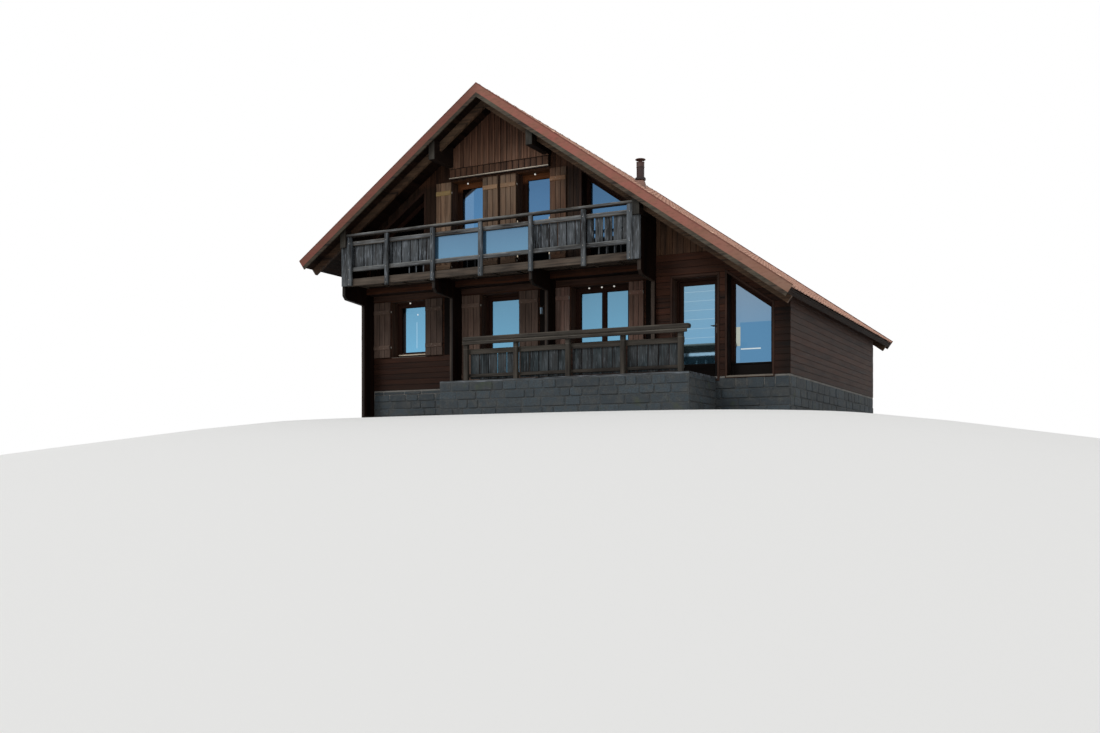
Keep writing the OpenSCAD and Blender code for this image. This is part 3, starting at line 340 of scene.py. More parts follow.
# painted shade: the infill boards darken towards their tops under the rail
vary("infillBoard", "greyTimber", light=(144, 156, 166), level=0.165, contrast=3.0, tone=0.36,
     shade=[("Z", 4.13, 4.22, (0.5, 0.4, 0.36))])
vary("terraceBoard", "greyTimber", light=(108, 130, 138), level=0.125, flecks=0.15)
vary("greyCadx", "greyTimber", along="x")
vary("greyCadz", "greyTimber", along="z")
# painted highlights along the top edges of the terrace rails and handrail
vary("terraceTimber", "greyBrown", light=(122, 116, 106), level=0.23,
     bands=[("Z", 1.606, 1.632, (2.3, 2.4, 2.5)), ("Z", 1.455, 1.470, (1.9, 1.9, 1.9)),
            ("Z", 1.700, 1.722, (1.5, 1.5, 1.5))])
# painted shade: three of the four wing edges, thin strips along them and their corbel parts are darkened
vary("wingEdge", "greyBrown", light=(108, 88, 76), dark=(48, 36, 30), weathering=0.4, level=0.40,
     shade=[("X", 1.6, 1.5, (0.8, 0.8, 0.82)), ("Z", 2.84, 2.90, (0.5, 0.46, 0.44))],
     bands=[("X", -2.288, -2.25, (0.2, 0.2, 0.2)), ("X", 0.212, 0.25, (0.2, 0.2, 0.2)),
            ("X", -4.84, -4.79, (0.3, 0.3, 0.3))])
vary("purlinEnd", "greyBrown", light=(96, 96, 88), level=0.24)
vary("rafterTimber", "greyBrown", light=(134, 102, 78), dark=(46, 34, 27), weather=(142, 118, 94), along="x",
     level=0.47, shade=[("X", -2.4, -4.0, (0.5, 0.45, 0.42))])
vary("bareBoard", "greyBrown", light=(124, 104, 88), weather=(138, 134, 116), weathering=0.9, contrast=1.8,
     along="x", level=0.34, shade=[("X", -1.1, -1.4, (0.62, 0.58, 0.52))])
vary("casing", "darkPlank", light=(104, 72, 58), dark=(40, 26, 20), weathering=0.35, level=0.42)
# painted shade: a near black plank for the door kicks and for the strips beside the wing walls
vary("nearBlack", "darkPlank", light=(38, 28, 24), dark=(14, 10, 8), weathering=0, level=0.35, specular=0.04)
vary("lining", "darkPlank", light=(108, 80, 64), level=0.55)
vary("wallBacking", "darkPlank", light=(44, 30, 24), dark=(16, 10, 8), along="x")
# painted shade: a much darker copy of the plank for the sides of the wing walls
vary("wingPlank", "darkPlank", along="z", lines=("Y", 0.135), tone=0.36, level=0.11, specular=0.05)
vary("beamTimber", "darkPlank", light=(70, 52, 42), dark=(24, 17, 14), along="y", tone=0.4, level=0.25)
vary("soffitBoard", "darkPlank", light=(66, 46, 36), dark=(22, 15, 12), along="y", lines=("X", 0.11),
     tone=0.4, level=0.30, specular=0.05)
# painted shade: the sash darkens below its head, here and on the CAD upper doors
vary("doorSash", "joinery", light=(156, 96, 54), dark=(84, 46, 26), level=0.62,
     shade=[("Z", 5.46, 5.38, (0.16, 0.17, 0.2))])
vary("doorSashCad", "doorSash", along="z")
vary("headLining", "joinery", light=(150, 98, 60), dark=(80, 50, 32), level=0.48)
# painted shade at the feet of the doors, here and on the CAD joinery
vary("doorWood", "joinery", shade=[doorFootShade])
vary("joineryCad", "joinery", along="z", shade=[doorFootShade])
plainLooks = {
    "darkMetal": dict(color=(44, 39, 37), dirtColor=(88, 66, 54), rough=0.45, metallic=0.75, dirt=0.5),
    "flueMetal": dict(color=(48, 31, 30), dirtColor=(74, 48, 40), rough=0.6, metallic=0.1, dirt=0.7,
                      shade=[("Z", 6.48, 6.56, (1.5, 1.4, 1.2))],
                      bands=[("Z", 6.20, 6.272, (0.35, 0.3, 0.34)), ("Z", 6.70, 6.765, (1.6, 1.5, 1.4)),
                             ("Z", 6.512, 6.546, (0.5, 0.5, 0.5))]),
    "paleMetal": dict(color=(150, 144, 136), dirtColor=(96, 86, 76), rough=0.45, metallic=0.5, dirt=0.6),
    "flashMetal": dict(color=(152, 116, 102), dirtColor=(104, 76, 66), rough=0.6, metallic=0.1, dirt=0.6),
    "paleStrip": dict(color=(96, 88, 78), dirtColor=(60, 50, 44), rough=0.6, dirt=0.7),
    "dripBar": dict(color=(214, 200, 178), dirtColor=(140, 124, 104), rough=0.6, dirt=0.5),
    # painted highlight: only a thin line of the rail stays bright; above and below it is painted shade
    "dripRail": dict(color=(216, 204, 184), dirtColor=(150, 140, 124), rough=0.5, dirt=0.5,
                     bands=[("Z", 5.58, 5.647, (0.08, 0.06, 0.05)), ("Z", 5.660, 5.70, (0.08, 0.06, 0.05))]),
    "concrete": dict(color=(104, 102, 98), dirtColor=(70, 68, 65), rough=0.85, dirt=0.7, bump=0.5),
    "mortar": dict(color=(60, 62, 62), dirtColor=(40, 42, 42), rough=0.9, dirt=0.6, bump=0.6),
}


def vergePaint():
    net, shader = newMaterial("vergePaint")
    place, parts = net.spot()
    fine = net.noise(place, 26, 4, (0.3, 1, 1))
    eave = net.times(net.ramp(parts["X"], 2.4, 6.2), 0.65)  # the long slope bleaches towards its eave
    faded = net.ramp(net.noise(place, 1.1, 5, (0.6, 1, 1.2)), 0.35, 0.7)
    faded = net.math("MULTIPLY_ADD", faded, 0.35, eave, clamp=True)
    color = net.mix(faded, srgb(142, 84, 74), srgb(128, 102, 86))
    color = net.over(color, net.noise(place, 5, 4, (0.5, 1, 1.3)), 0.42, 0.62, (122, 88, 70), 0.55)
    color = net.over(color, fine, 0.5, 0.72, (90, 58, 50), 0.4)
    color = net.tint(color, net.ramp(parts["X"], -0.9, -1.3), (0.60, 0.54, 0.52))  # the short slope is darker
    away = net.math("ABSOLUTE", net.math("SUBTRACT", parts["X"], toRow.x))
    rise = net.math("MULTIPLY_ADD", away, slope, parts["Z"])
    top = house["ridgeZ"] + toRow.z  # below the roof plane: soot at the top edge, damp at the foot
    color = net.tint(color, net.ramp(rise, top - 0.040, top - 0.022), (0.62, 0.54, 0.54))
    color = net.tint(color, net.ramp(rise, top - 0.215, top - 0.245), (0.55, 0.5, 0.5))
    net.fill(shader, {"Base Color": color, "Roughness": 0.7, "Specular IOR Level": 0.2})
    net.bump(shader, fine, 0.25, 0.002)


def clayTile():
    net, shader = newMaterial("clayTile")
    place, parts = net.spot()
    run = net.node("SeparateXYZ", {0: net.grain()}).outputs["X"]  # 0 at the head of a tile, 1 at its nose
    tone = net.tone()
    speck = net.noise(place, 38, 4)
    color = net.mix(tone, srgb(178, 130, 108), srgb(128, 88, 72))
    color = net.over(color, net.noise(place, 0.9, 5), 0.4, 0.7, (160, 116, 98))
    color = net.over(color, speck, 0.56, 0.70, (104, 74, 64))
    color = net.over(color, net.noise(place, 7, 5), 0.62, 0.74, (146, 144, 124))
    # painted highlight on each tile's nose, painted shade at its head under the tile above
    color = net.over(color, run, 0.78, 0.90, (222, 180, 160), 0.4)
    color = net.over(color, run, 0.30, 0.10, (92, 60, 50), 0.55)
    edge = net.times(net.ramp(parts["Y"], -4.935, -4.952), net.ramp(tone, 0.3, 0.6))
    color = net.mix(edge, color, srgb(250, 208, 182))  # sun catches some noses along the front verge
    net.fill(shader, {"Base Color": color, "Roughness": 0.82})
    net.bump(shader, speck, 0.4, 0.003)


# glass colours are painted reflections: each span of a wall has its own pair of sky colours, low and high
def skyGlass(name, look):
    net, shader = newMaterial(name)
    place, parts = net.spot()
    cloud = net.math("MULTIPLY_ADD", net.noise(place, 0.9, 3, (1, 1, 0.5)), 0.5, -0.25)
    rise = net.math("ADD", net.ramp(parts["Z"], *look["span"]), cloud, clamp=True)
    color = net.mix(rise, srgb(*look["low"]), srgb(*look["high"]))
    for start, low, high in look.get("parts", []):  # the panes right of this line differ
        passed = net.math("GREATER_THAN", parts["X"], start)
        color = net.mix(passed, color, net.mix(rise, srgb(*low), srgb(*high)))
    if "lines" in look:  # a blind's cords show as thin pale lines
        row = net.math("FRACT", net.math("DIVIDE", parts["Z"], look["lines"]))
        away = net.math("ABSOLUTE", net.math("SUBTRACT", row, 0.5))
        color = net.over(color, away, 0.035, 0.012, (190, 212, 226), 0.45)
    facing = net.math("LESS_THAN", parts["Y"], 0.0)  # only the front mirrors this view
    for x0, x1, z0, z1, shade in look.get("zones", []):  # painted reflections: patches of the view it mirrors
        shown = net.times(net.band(parts["X"], x0, x1, 0.006), net.band(parts["Z"], z0, z1, 0.006))
        color = net.mix(net.times(shown, facing), color, srgb(*shade))
    if "corner" in look:  # painted reflection of the shaded eave: a dark slanting patch fills one upper corner
        across, down, steep, reach = look["corner"]
        line = net.math("MULTIPLY_ADD", parts["X"], steep, down - steep * across)
        above = net.ramp(net.math("SUBTRACT", parts["Z"], line), -0.01, 0.02)
        beside = net.times(net.math("LESS_THAN", parts["X"], reach), facing)
        color = net.mix(net.times(above, beside), color, srgb(30, 26, 28))
    rough = net.math("MULTIPLY_ADD", net.noise(place, 6, 3, (1, 1, 0.1)), 0.06, look["rough"])
    net.fill(shader, {"Base Color": color, "Roughness": rough, "Metallic": look["metallic"],
                      "Coat Weight": 0.2, "Coat Roughness": 0.02})
    if "lean" in look:  # old panes bow and lean a little
        wave = net.node("TexNoise", {"Vector": place, "Scale": 1.6}).outputs["Color"]
        bowed = net.vector("MULTIPLY_ADD", wave, (0.03, 0.0, 0.03), (look["lean"] - 0.015, 0.0, -0.015))
        tilted = net.vector("ADD", bowed, net.node("NewGeometry").outputs["Normal"])
        net.fill(shader, {"Normal": net.vector("NORMALIZE", tilted)})


def stoneBlock():
    net, shader = newMaterial("stoneBlock")
    place = net.spot()[0]
    tone = net.tone()
    grit = net.noise(place, 55, 5, rough=0.7)
    veins = net.noise(place, 6, 5)
    color = net.mix(tone, srgb(60, 74, 82), srgb(40, 50, 56))
    color = net.over(color, veins, 0.45, 0.7, (74, 76, 74))
    color = net.over(color, grit, 0.35, 0.65, (40, 42, 44))
    color = net.over(color, net.noise(place, 2.2, 5), 0.62, 0.78, (54, 62, 44))
    net.fill(shader, {"Base Color": color, "Roughness": 0.9})
    net.bump(shader, net.math("ADD", grit, veins), 0.6, 0.012)


def lampGlass(name, low, high, glow):
    net, shader = newMaterial(name)
    color = net.mix(net.noise(net.spot()[0], 30, 2), srgb(*low), srgb(*high))
    net.fill(shader, {"Base Color": color, "Emission Color": color, "Emission Strength": glow,
                      "Roughness": 0.25})


# painted reflections: the colours stand for the sky and the surroundings mirrored in each glass
glassLooks = {
    "upperGlass": dict(low=(8, 9, 11), high=(6, 6, 8), span=(3.4, 5.4), metallic=0.85, rough=0.03,
                       parts=[(-2.9, (82, 140, 186), (74, 122, 166)), (-1.1, (84, 132, 174), (70, 112, 152)),
                              (0.9, (78, 124, 164), (64, 102, 138))], corner=(-2.20, 5.22, 0.62, -1.4),
                       zones=[(-2.3, -1.915, 3.4, 5.6, (98, 140, 180)), (-3, 3, 3.3, 3.98, (16, 20, 24)),
                              (-0.5, 1, 3.9, 4.42, (16, 20, 24)), (1.87, 3, 3.9, 4.45, (16, 20, 24))]),
    "groundGlass": dict(low=(114, 180, 216), high=(106, 162, 194), span=(1.4, 3.0), metallic=0.85, rough=0.03,
                        lean=0.055, parts=[(-2.2, (110, 170, 202), (98, 144, 172)),
                                           (3.2, (106, 148, 182), (126, 148, 168))],
                        zones=[(4.545, 5.4, 1.10, 1.919, (84, 134, 172)),
                               (4.4, 4.545, 1.44, 1.83, (176, 182, 172)),
                               (4.56, 4.98, 1.362, 1.380, (206, 216, 220)),
                               (-3.723, -3.713, 1.84, 2.47, (178, 212, 236)),
                               (-3.705, -3.679, 2.64, 2.67, (226, 234, 240)),
                               (-4.4, -4.04, 1.5, 3.0, (14, 12, 16))]),
    "doorGlass": dict(low=(106, 164, 202), high=(124, 164, 188), span=(1.0, 2.9), metallic=0.85, rough=0.03,
                      lines=0.195, zones=[(3, 4.2, 1.34, 1.53, (84, 104, 108)),
                                          (3, 4.2, 1.264, 1.34, (138, 176, 200)),
                                          (3, 4.2, 1.1, 1.264, (74, 112, 132))]),
    "clearPanel": dict(low=(100, 144, 174), high=(86, 122, 152), span=(3.5, 4.3), metallic=0.7, rough=0.05),
}
for make, table in ((timberMaterial, looks), (plainMaterial, plainLooks), (skyGlass, glassLooks)):
    for name, look in table.items():
        make(name, look)
vergePaint()
clayTile()
stoneBlock()
lampGlass("lampGlass", (236, 232, 222), (250, 248, 242), 0.35)
lampGlass("lanternGlass", (96, 124, 146), (140, 164, 182), 0.12)
print("stage: materials ready,", len(materials))


# mesh building: each face keeps its own corners, their place along the grain and one tone
class Shape:
    def __init__(self):
        self.points, self.faces, self.grain, self.tones = [], [], [], []

    def face(self, points, grain=None, tone=0.5):
        start = len(self.points)
        self.points.extend(points)
        self.faces.append(list(range(start, start + len(points))))
        self.grain.extend(grain or [(0.0, 0.0)] * len(points))
        self.tones.append(tone)


def finishPiece(shape, name, material, body="house", stands=(), smooth=None):
    mesh = bpy.data.meshes.new(name)
    mesh.from_pydata([Vector(p) + toRow for p in shape.points], [], shape.faces)
    layer = mesh.uv_layers.new(name="grain")
    layer.data.foreach_set("uv", [c for uv in shape.grain for c in uv])
    tone = mesh.attributes.new("tone", "FLOAT", "FACE")
    tone.data.foreach_set("value", shape.tones)
    mesh.materials.append(materials[material])
    if smooth:
        work = bmesh.new()
        work.from_mesh(mesh)
        bmesh.ops.remove_doubles(work, verts=work.verts, dist=0.0002)
        work.to_mesh(mesh)
        work.free()
        mesh.shade_smooth()
        mesh.set_sharp_from_angle(angle=math.radians(smooth))
    piece = bpy.data.objects.new(name, mesh)
    bpy.context.scene.collection.objects.link(piece)
    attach(piece, body)
    if stands:
        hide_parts(*stands)
    print("  piece", name, len(mesh.polygons), "faces")


def pairs(values):
    return zip(values, values[1:])


def ringPairs(values):  # the last one is followed by the first
    return zip(values, values[1:] + values[:1])


def about(middle, half):
    return (middle - half, middle + half)


def within(start, end, gap):
    return (start + gap, end - gap)


def area(points):
    return sum(x0 * y1 - x1 * y0 for (x0, y0), (x1, y1) in ringPairs(points)) / 2


def turned(points):  # anticlockwise
    return points[::-1] if area(points) < 0 else points


# cuts a convex polygon along the line a*x + b*y <= c
def clip(points, a, b, c):
    kept, hair = [], 1e-9
    for (x0, y0), (x1, y1) in ringPairs(points):
        d0, d1 = a * x0 + b * y0 - c, a * x1 + b * y1 - c
        if d0 <= hair:
            kept.append((x0, y0))
        if (d0 < -hair and d1 > hair) or (d0 > hair and d1 < -hair):
            t = d0 / (d0 - d1)
            kept.append((x0 + (x1 - x0) * t, y0 + (y1 - y0) * t))
    return kept if len(kept) > 2 and abs(area(kept)) > 1e-6 else []


def edgesOf(points):
    points = turned(points)
    for (x0, y0), (x1, y1) in ringPairs(points):
        a, b = y1 - y0, x0 - x1
        yield a, b, a * x0 + b * y0


def subtract(cells, hole):
    outer = []
    for rest in cells:
        for a, b, c in edgesOf(hole):
            outside = clip(rest, -a, -b, -c)
            if outside:
                outer.append(outside)
            rest = clip(rest, a, b, c)
            if not rest:
                break
    return outer


# draws an outline in by a gap, or out where the gap is negative
def shrink(points, gap):
    lines, inner = list(edgesOf(points)), []
    for (a0, b0, c0), (a1, b1, c1) in zip(lines[-1:] + lines, lines):
        c0, c1 = c0 - gap * math.hypot(a0, b0), c1 - gap * math.hypot(a1, b1)
        det = a0 * b1 - a1 * b0
        inner.append(((c0 * b1 - c1 * b0) / det, (a0 * c1 - a1 * c0) / det))
    return inner


def rect(x0, x1, z0, z1):
    return [(x0, z0), (x1, z0), (x1, z1), (x0, z1)]


def grained(chance, low=0.0, spread=1.0):  # a tone and a place in the grain, drawn in this order
    return {"tone": low + chance.random() * spread, "slide": drawSlide(chance)}


def drawSlide(chance, reach=30):
    return (chance.uniform(0, reach), chance.uniform(0, reach))


# boards over a wall: parts are convex outlines, breaks the board edges across the grain
def cladding(shape, place, parts, holes, breaks, upright, proud, seed, groove=0.006, paler=None):
    chance, chamfer, shadow = random.Random(seed), 0.005, 0.004
    side = (1, 0) if upright else (0, 1)
    for start, end in pairs(breaks):
        tone, slide = chance.random(), drawSlide(chance, 40)
        tone = paler(tone) if paler else tone
        lift = proud - chance.random() * shadow
        low, high = start + groove / 2, end - groove / 2
        bands = [(low, low + chamfer, lift - chamfer, lift), (low + chamfer, high - chamfer, lift, lift),
                 (high - chamfer, high, lift, lift - chamfer)]
        for s0, s1, d0, d1 in bands:
            for part in parts:
                cell = clip(part, -side[0], -side[1], -s0)
                cells = [clip(cell, *side, s1)] if cell else []
                for hole in holes:
                    cells = subtract(filter(None, cells), hole)
                for points in map(turned, filter(None, cells)):
                    across = [p[0] if upright else p[1] for p in points]
                    depth = [d0 + (d1 - d0) * (s - s0) / (s1 - s0) for s in across]
                    grain = [(p[1], p[0]) if upright else p for p in points]
                    grain = [(g[0] + slide[0], g[1] + slide[1]) for g in grain]
                    shape.face([place(*p, d) for p, d in zip(points, depth)], grain, tone)
                    closeBoard(shape, place, points, across, depth, grain, tone, (low, high))


# the sides of a board's cell, left open where the next band of the same board joins on
def closeBoard(shape, place, points, across, depth, grain, tone, ends):
    for i in range(len(points)):
        j = (i + 1) % len(points)
        if across[i] in ends or abs(across[j] - across[i]) >= 1e-6:
            lower = [(g[0] + 0.01, g[1] + 0.01) for g in (grain[i], grain[j])]
            shape.face([place(*points[i], depth[i]), place(*points[i], 0), place(*points[j], 0),
                        place(*points[j], depth[j])], [grain[i], *lower, grain[j]], tone * 0.6)


def evenBreaks(start, end, width):
    count = max(1, round((end - start) / width))
    return [start + (end - start) * i / count for i in range(count + 1)]


def mixedBreaks(start, end, seed):
    widths = [0.10, 0.13, 0.16]
    chance, found = random.Random(seed), [start]
    while found[-1] < end - max(widths) * 1.3:
        found.append(found[-1] + chance.choice(widths) * chance.uniform(0.93, 1.07))
    rest, last = max(1, round((end - found[-1]) / max(widths))), found[-1]
    return found + [last + (end - last) * (i + 1) / rest for i in range(rest)]


# a timber with chamfered long edges; axis is its length, the other two sides follow x, y, z order
def timber(shape, x, y, z, axis="x", chamfer=0.006, tone=0.5, slide=(0.0, 0.0), ends=0.0):
    spans = {"x": x, "y": y, "z": z}
    (a0, a1), (b0, b1) = [spans[k] for k in "xyz" if k != axis]
    c = min(chamfer, (a1 - a0) / 2.01, (b1 - b0) / 2.01)
    extrude(shape, cutCorners(a0, a1, b0, b1, c), axis, *spans[axis], tone, slide, ends)


def cutCorners(a0, a1, b0, b1, c):
    return [(a0 + c, b0), (a1 - c, b0), (a1, b0 + c), (a1, b1 - c), (a1 - c, b1), (a0 + c, b1), (a0, b1 - c),
            (a0, b0 + c)]


# a bar with any outline; ends is the share by which the outline is drawn in at both ends
def extrude(shape, ring, axis, s0, s1, tone=0.5, slide=(0.0, 0.0), ends=0.0):
    if (area(ring) < 0) != (axis == "y"):
        ring = ring[::-1]
    order = {"x": (2, 0, 1), "y": (0, 2, 1), "z": (0, 1, 2)}[axis]

    def point(a, b, s):
        values = (a, b, s)
        return tuple(values[k] for k in order)

    middle = [sum(p[k] for p in ring) / len(ring) for k in (0, 1)]
    small = [tuple(m + (v - m) * (1 - ends) for m, v in zip(middle, p)) for p in ring]
    inset = ends * 0.05
    steps = [(s0, ring), (s1, ring)]
    if ends:
        steps = [(s0, small), (s0 + inset, ring), (s1 - inset, ring), (s1, small)]
    around = slide[1]
    for i in range(len(ring)):
        j = (i + 1) % len(ring)
        past = around + math.dist(ring[i], ring[j])
        for (t0, r0), (t1, r1) in pairs(steps):
            g0, g1 = t0 + slide[0], t1 + slide[0]
            shape.face([point(*r0[i], t0), point(*r0[j], t0), point(*r1[j], t1), point(*r1[i], t1)],
                       [(g0, around), (g0, past), (g1, past), (g1, around)], tone)
        around = past
    flat = axis == "y"
    grain = [(p[1], p[0]) if flat else (p[0] * 0.2, p[1]) for p in ring]
    grain = [(g[0] + slide[0], g[1] + slide[1]) for g in grain]
    capTone = tone if flat else tone * 0.7
    shape.face([point(*p, s0) for p in reversed(steps[0][1])], grain[::-1], capTone)
    shape.face([point(*p, s1) for p in steps[-1][1]], grain, capTone)


def circle(x, y, r, count, z=()):
    turns = [2 * math.pi * i / count for i in range(count)]
    return [(x + r * math.cos(a), y + r * math.sin(a), *z) for a in turns]


def lathe(shape, x, y, profile, count=32):
    for (r0, z0), (r1, z1) in pairs(profile):
        low, high = circle(x, y, r0, count, (z0,)), circle(x, y, r1, count, (z1,))
        for i in range(count):
            j = (i + 1) % count
            if r0 == 0:
                shape.face([low[i], high[j], high[i]])
            elif r1 == 0:
                shape.face([low[i], low[j], high[j]])
            else:
                shape.face([low[i], low[j], high[j], high[i]])


# a ring with a chamfered inner and outer edge, standing proud of the CAD frame behind it
def moulding(shape, place, outer, wide, low, high, tone=0.5, chamfer=0.006):
    outer = turned(outer)
    loops = [(outer, low), (outer, high - chamfer), (shrink(outer, chamfer), high),
             (shrink(outer, wide - chamfer), high), (shrink(outer, wide), high - chamfer),
             (shrink(outer, wide), low)]
    around = 0.0
    for i in range(len(outer)):
        j = (i + 1) % len(outer)
        past = around + math.dist(outer[i], outer[j])
        for k, ((a, da), (b, db)) in enumerate(pairs(loops)):
            v0, v1 = k * 0.02 + i * 3.1, (k + 1) * 0.02 + i * 3.1
            shape.face([place(*a[i], da), place(*a[j], da), place(*b[j], db), place(*b[i], db)],
                       [(around, v0), (past, v0), (past, v1), (around, v1)], tone)
        around = past


# places on a wall: u runs along it, v up, d out of it
def alongX(y, way):
    return lambda u, v, d: (u, y + way * d, v)


def alongY(x, way):
    return lambda u, v, d: (x + way * d, u, v)


front, bay, rear = alongX(0.0, -1), alongX(bayY, -1), alongX(rearY, 1)
left, right = alongY(-wallX, -1), alongY(sideX, 1)


def underRoof(x0, x1, z0):
    return [(x0, z0), (x1, z0), (x1, soffit(x1)), (x0, soffit(x0))]


# openings, as outlines in the plane of their wall
def slopedWindow(x0, x1, z0, down, inset):
    x0, x1, down = x0 + inset, x1 - inset, down + inset / cosPitch
    return [(x0, z0 + inset), (x1, z0 + inset), (x1, soffit(x1) - down), (x0, soffit(x0) - down)]


def slantWindow(inset=0.0):
    return slopedWindow(5.40, 6.35, 0, 0.41, inset)


def gableWindow(side, inset=0.0):
    points = slopedWindow(2.075, 3.64, 2.64, 0.25, inset)
    return points if side > 0 else [(-x, z) for x, z in reversed(points)]


openings = {
    "leftWindow": rect(-3.23, -2.23, sillZ, headZ),
    "garden": rect(-0.68, 0.34, 0, headZ),
    "rightWindow": rect(1.66, 3.08, sillZ, headZ),
    "extensionDoor": rect(4.2, 5.19, 0, 2.11),
    "upperLeft": rect(-1.29, -0.45, upperZ, 4.80),
    "upperRight": rect(0.45, 1.29, upperZ, 4.80),
    "rearLow": [rect(x, x + 1.2, sillZ, headZ) for x in (-2.9, 1.66)],
    "rearHigh": [rect(s * 0.87 - 0.42, s * 0.87 + 0.42, 3.45, 4.65) for s in (-1, 1)],
    "side": [rect(y, y + 0.9, sillZ, headZ) for y in (2.3, 5.4)],
}

# walls: level planks up to the split, upright boards above it
walls = {"split": 2.62, "plank": 0.012, "board": 0.018, "bayTop": 2.33, "beamZ": 2.485,
         "bays": [(-3.75, -1.29), (-1.21, 1.21), (1.29, 3.75)]}


def levelBreaks(top):
    low = evenBreaks(0, sillZ, 0.1333) + evenBreaks(sillZ, headZ, 0.137)[1:]
    return low + evenBreaks(headZ, top, 0.15)[1:] if top > 2.2 else [b for b in low if b < top - 0.02] + [top]


def cladPiece(name, material, upright, proud, faces):
    shape = Shape()
    for place, parts, holes, breaks, seed in faces:
        cladding(shape, place, parts, holes, breaks, upright, proud, seed)
    finishPiece(shape, name, material)


def frontWalls():
    split, bays, top, beamZ = walls["split"], walls["bays"], walls["bayTop"], walls["beamZ"]
    holes = [openings[name] for name in ("leftWindow", "garden", "rightWindow")]
    cladPiece("ground_front_planks", "lowPlank", False, walls["plank"], [
        (bay, [rect(a, b, 0, top) for a, b in bays], holes, levelBreaks(top), 3),
        (front, [rect(a, b, top, beamZ) for a, b in bays], [], [top, beamZ], 4)])
    extension = underRoof(wallX, sideX, 0)
    cladPiece("extension_front_planks", "extensionPlank", False, walls["plank"], [
        (front, [clip(extension, 0, 1, split)], [openings["extensionDoor"], slantWindow()],
         levelBreaks(split), 5)])
    cladPiece("extension_upright_boards", "extensionBoard", True, walls["board"], [
        (front, [clip(extension, 0, -1, -split)], [], mixedBreaks(wallX, 5.4, 8), 6)])
    holes = [openings["upperLeft"], openings["upperRight"], gableWindow(1), gableWindow(-1),
             rect(-1.3, 1.3, 4.84, 7)]
    edges = [-wallX, -1.29, 1.29, wallX]
    breaks = {b for i in range(3) for b in mixedBreaks(edges[i], edges[i + 1], 9 + i)}
    cladPiece("upper_front_boards", "upperBoard", True, walls["plank"], [
        (front, [underRoof(-wallX, 0, upperZ), underRoof(0, wallX, upperZ)], holes, sorted(breaks), 12)])


gable = {"halfWidth": 1.3, "footZ": 4.85, "seam": 5.055, "lap": 0.012, "board": 0.149, "strip": 0.045}


def gablePanel():
    shape, panel, chance = Shape(), alongX(-0.1, -1), random.Random(16)
    half, seam = gable["halfWidth"], gable["seam"]
    halves = [underRoof(-half, 0, gable["footZ"]), underRoof(0, half, gable["footZ"])]
    upper = [clip(p, 0, -1, -(seam + gable["lap"])) for p in halves]
    breaks = evenBreaks(-half, half, gable["board"])
    cladding(shape, panel, [clip(p, 0, 1, seam) for p in halves], [], breaks, True, 0.014, 15, 0.022)
    for a, b in pairs(breaks):  # upper boards lap over the lower ones, with paler cover strips
        joint = b - gable["strip"]
        cladding(shape, panel, upper, [], [a, joint], True, 0.034, chance.randrange(999), 0.010)
        cladding(shape, panel, upper, [], [joint, b], True, 0.044, chance.randrange(999), 0.004,
                 lambda tone: 1.3 + 0.5 * tone)
    finishPiece(shape, "gable_panel_boards", "gableBoard")


def sideAndRear():
    split, corner, sideTop = walls["split"], -0.1, soffit(sideX)
    halves = [underRoof(-wallX, 0, 0), underRoof(0, sideX, 0)]
    cladPiece("side_and_rear_planks", "darkPlank", False, walls["plank"], [
        (left, [rect(corner, rearY, 0, split)], openings["side"], levelBreaks(split), 20),
        (right, [rect(0, rearY, 0, sideTop)], [], levelBreaks(sideTop), 21),
        (rear, [clip(p, 0, 1, split) for p in halves], openings["rearLow"], levelBreaks(split), 22)])
    cladPiece("side_and_rear_boards", "brownBoard", True, walls["board"], [
        (left, [rect(corner, rearY, split, soffit(-wallX))], [], mixedBreaks(corner, rearY, 23), 24),
        (rear, [clip(p, 0, -1, -split) for p in halves], openings["rearHigh"],
         mixedBreaks(-wallX, sideX, 25), 26)])


frontWalls()
gablePanel()
sideAndRear()
print("stage: walls clad")

# roof: a tile's cross wave is given as shares of its width and heights
tiles = {"columns": 45, "y": (-1.05, 9.45), "lap": 0.03, "lift": -0.060, "step": 0.022, "lip": 0.020,
         "bed": -0.079, "loose": 0.024, "wander": 0.016,
         "wave": [(0.0, 0.010), (0.05, 0.017), (0.12, 0.003), (0.42, 0.002), (0.48, 0.010), (0.54, 0.002),
                  (0.82, 0.003), (0.88, 0.020), (0.96, 0.023), (1.0, 0.010)]}


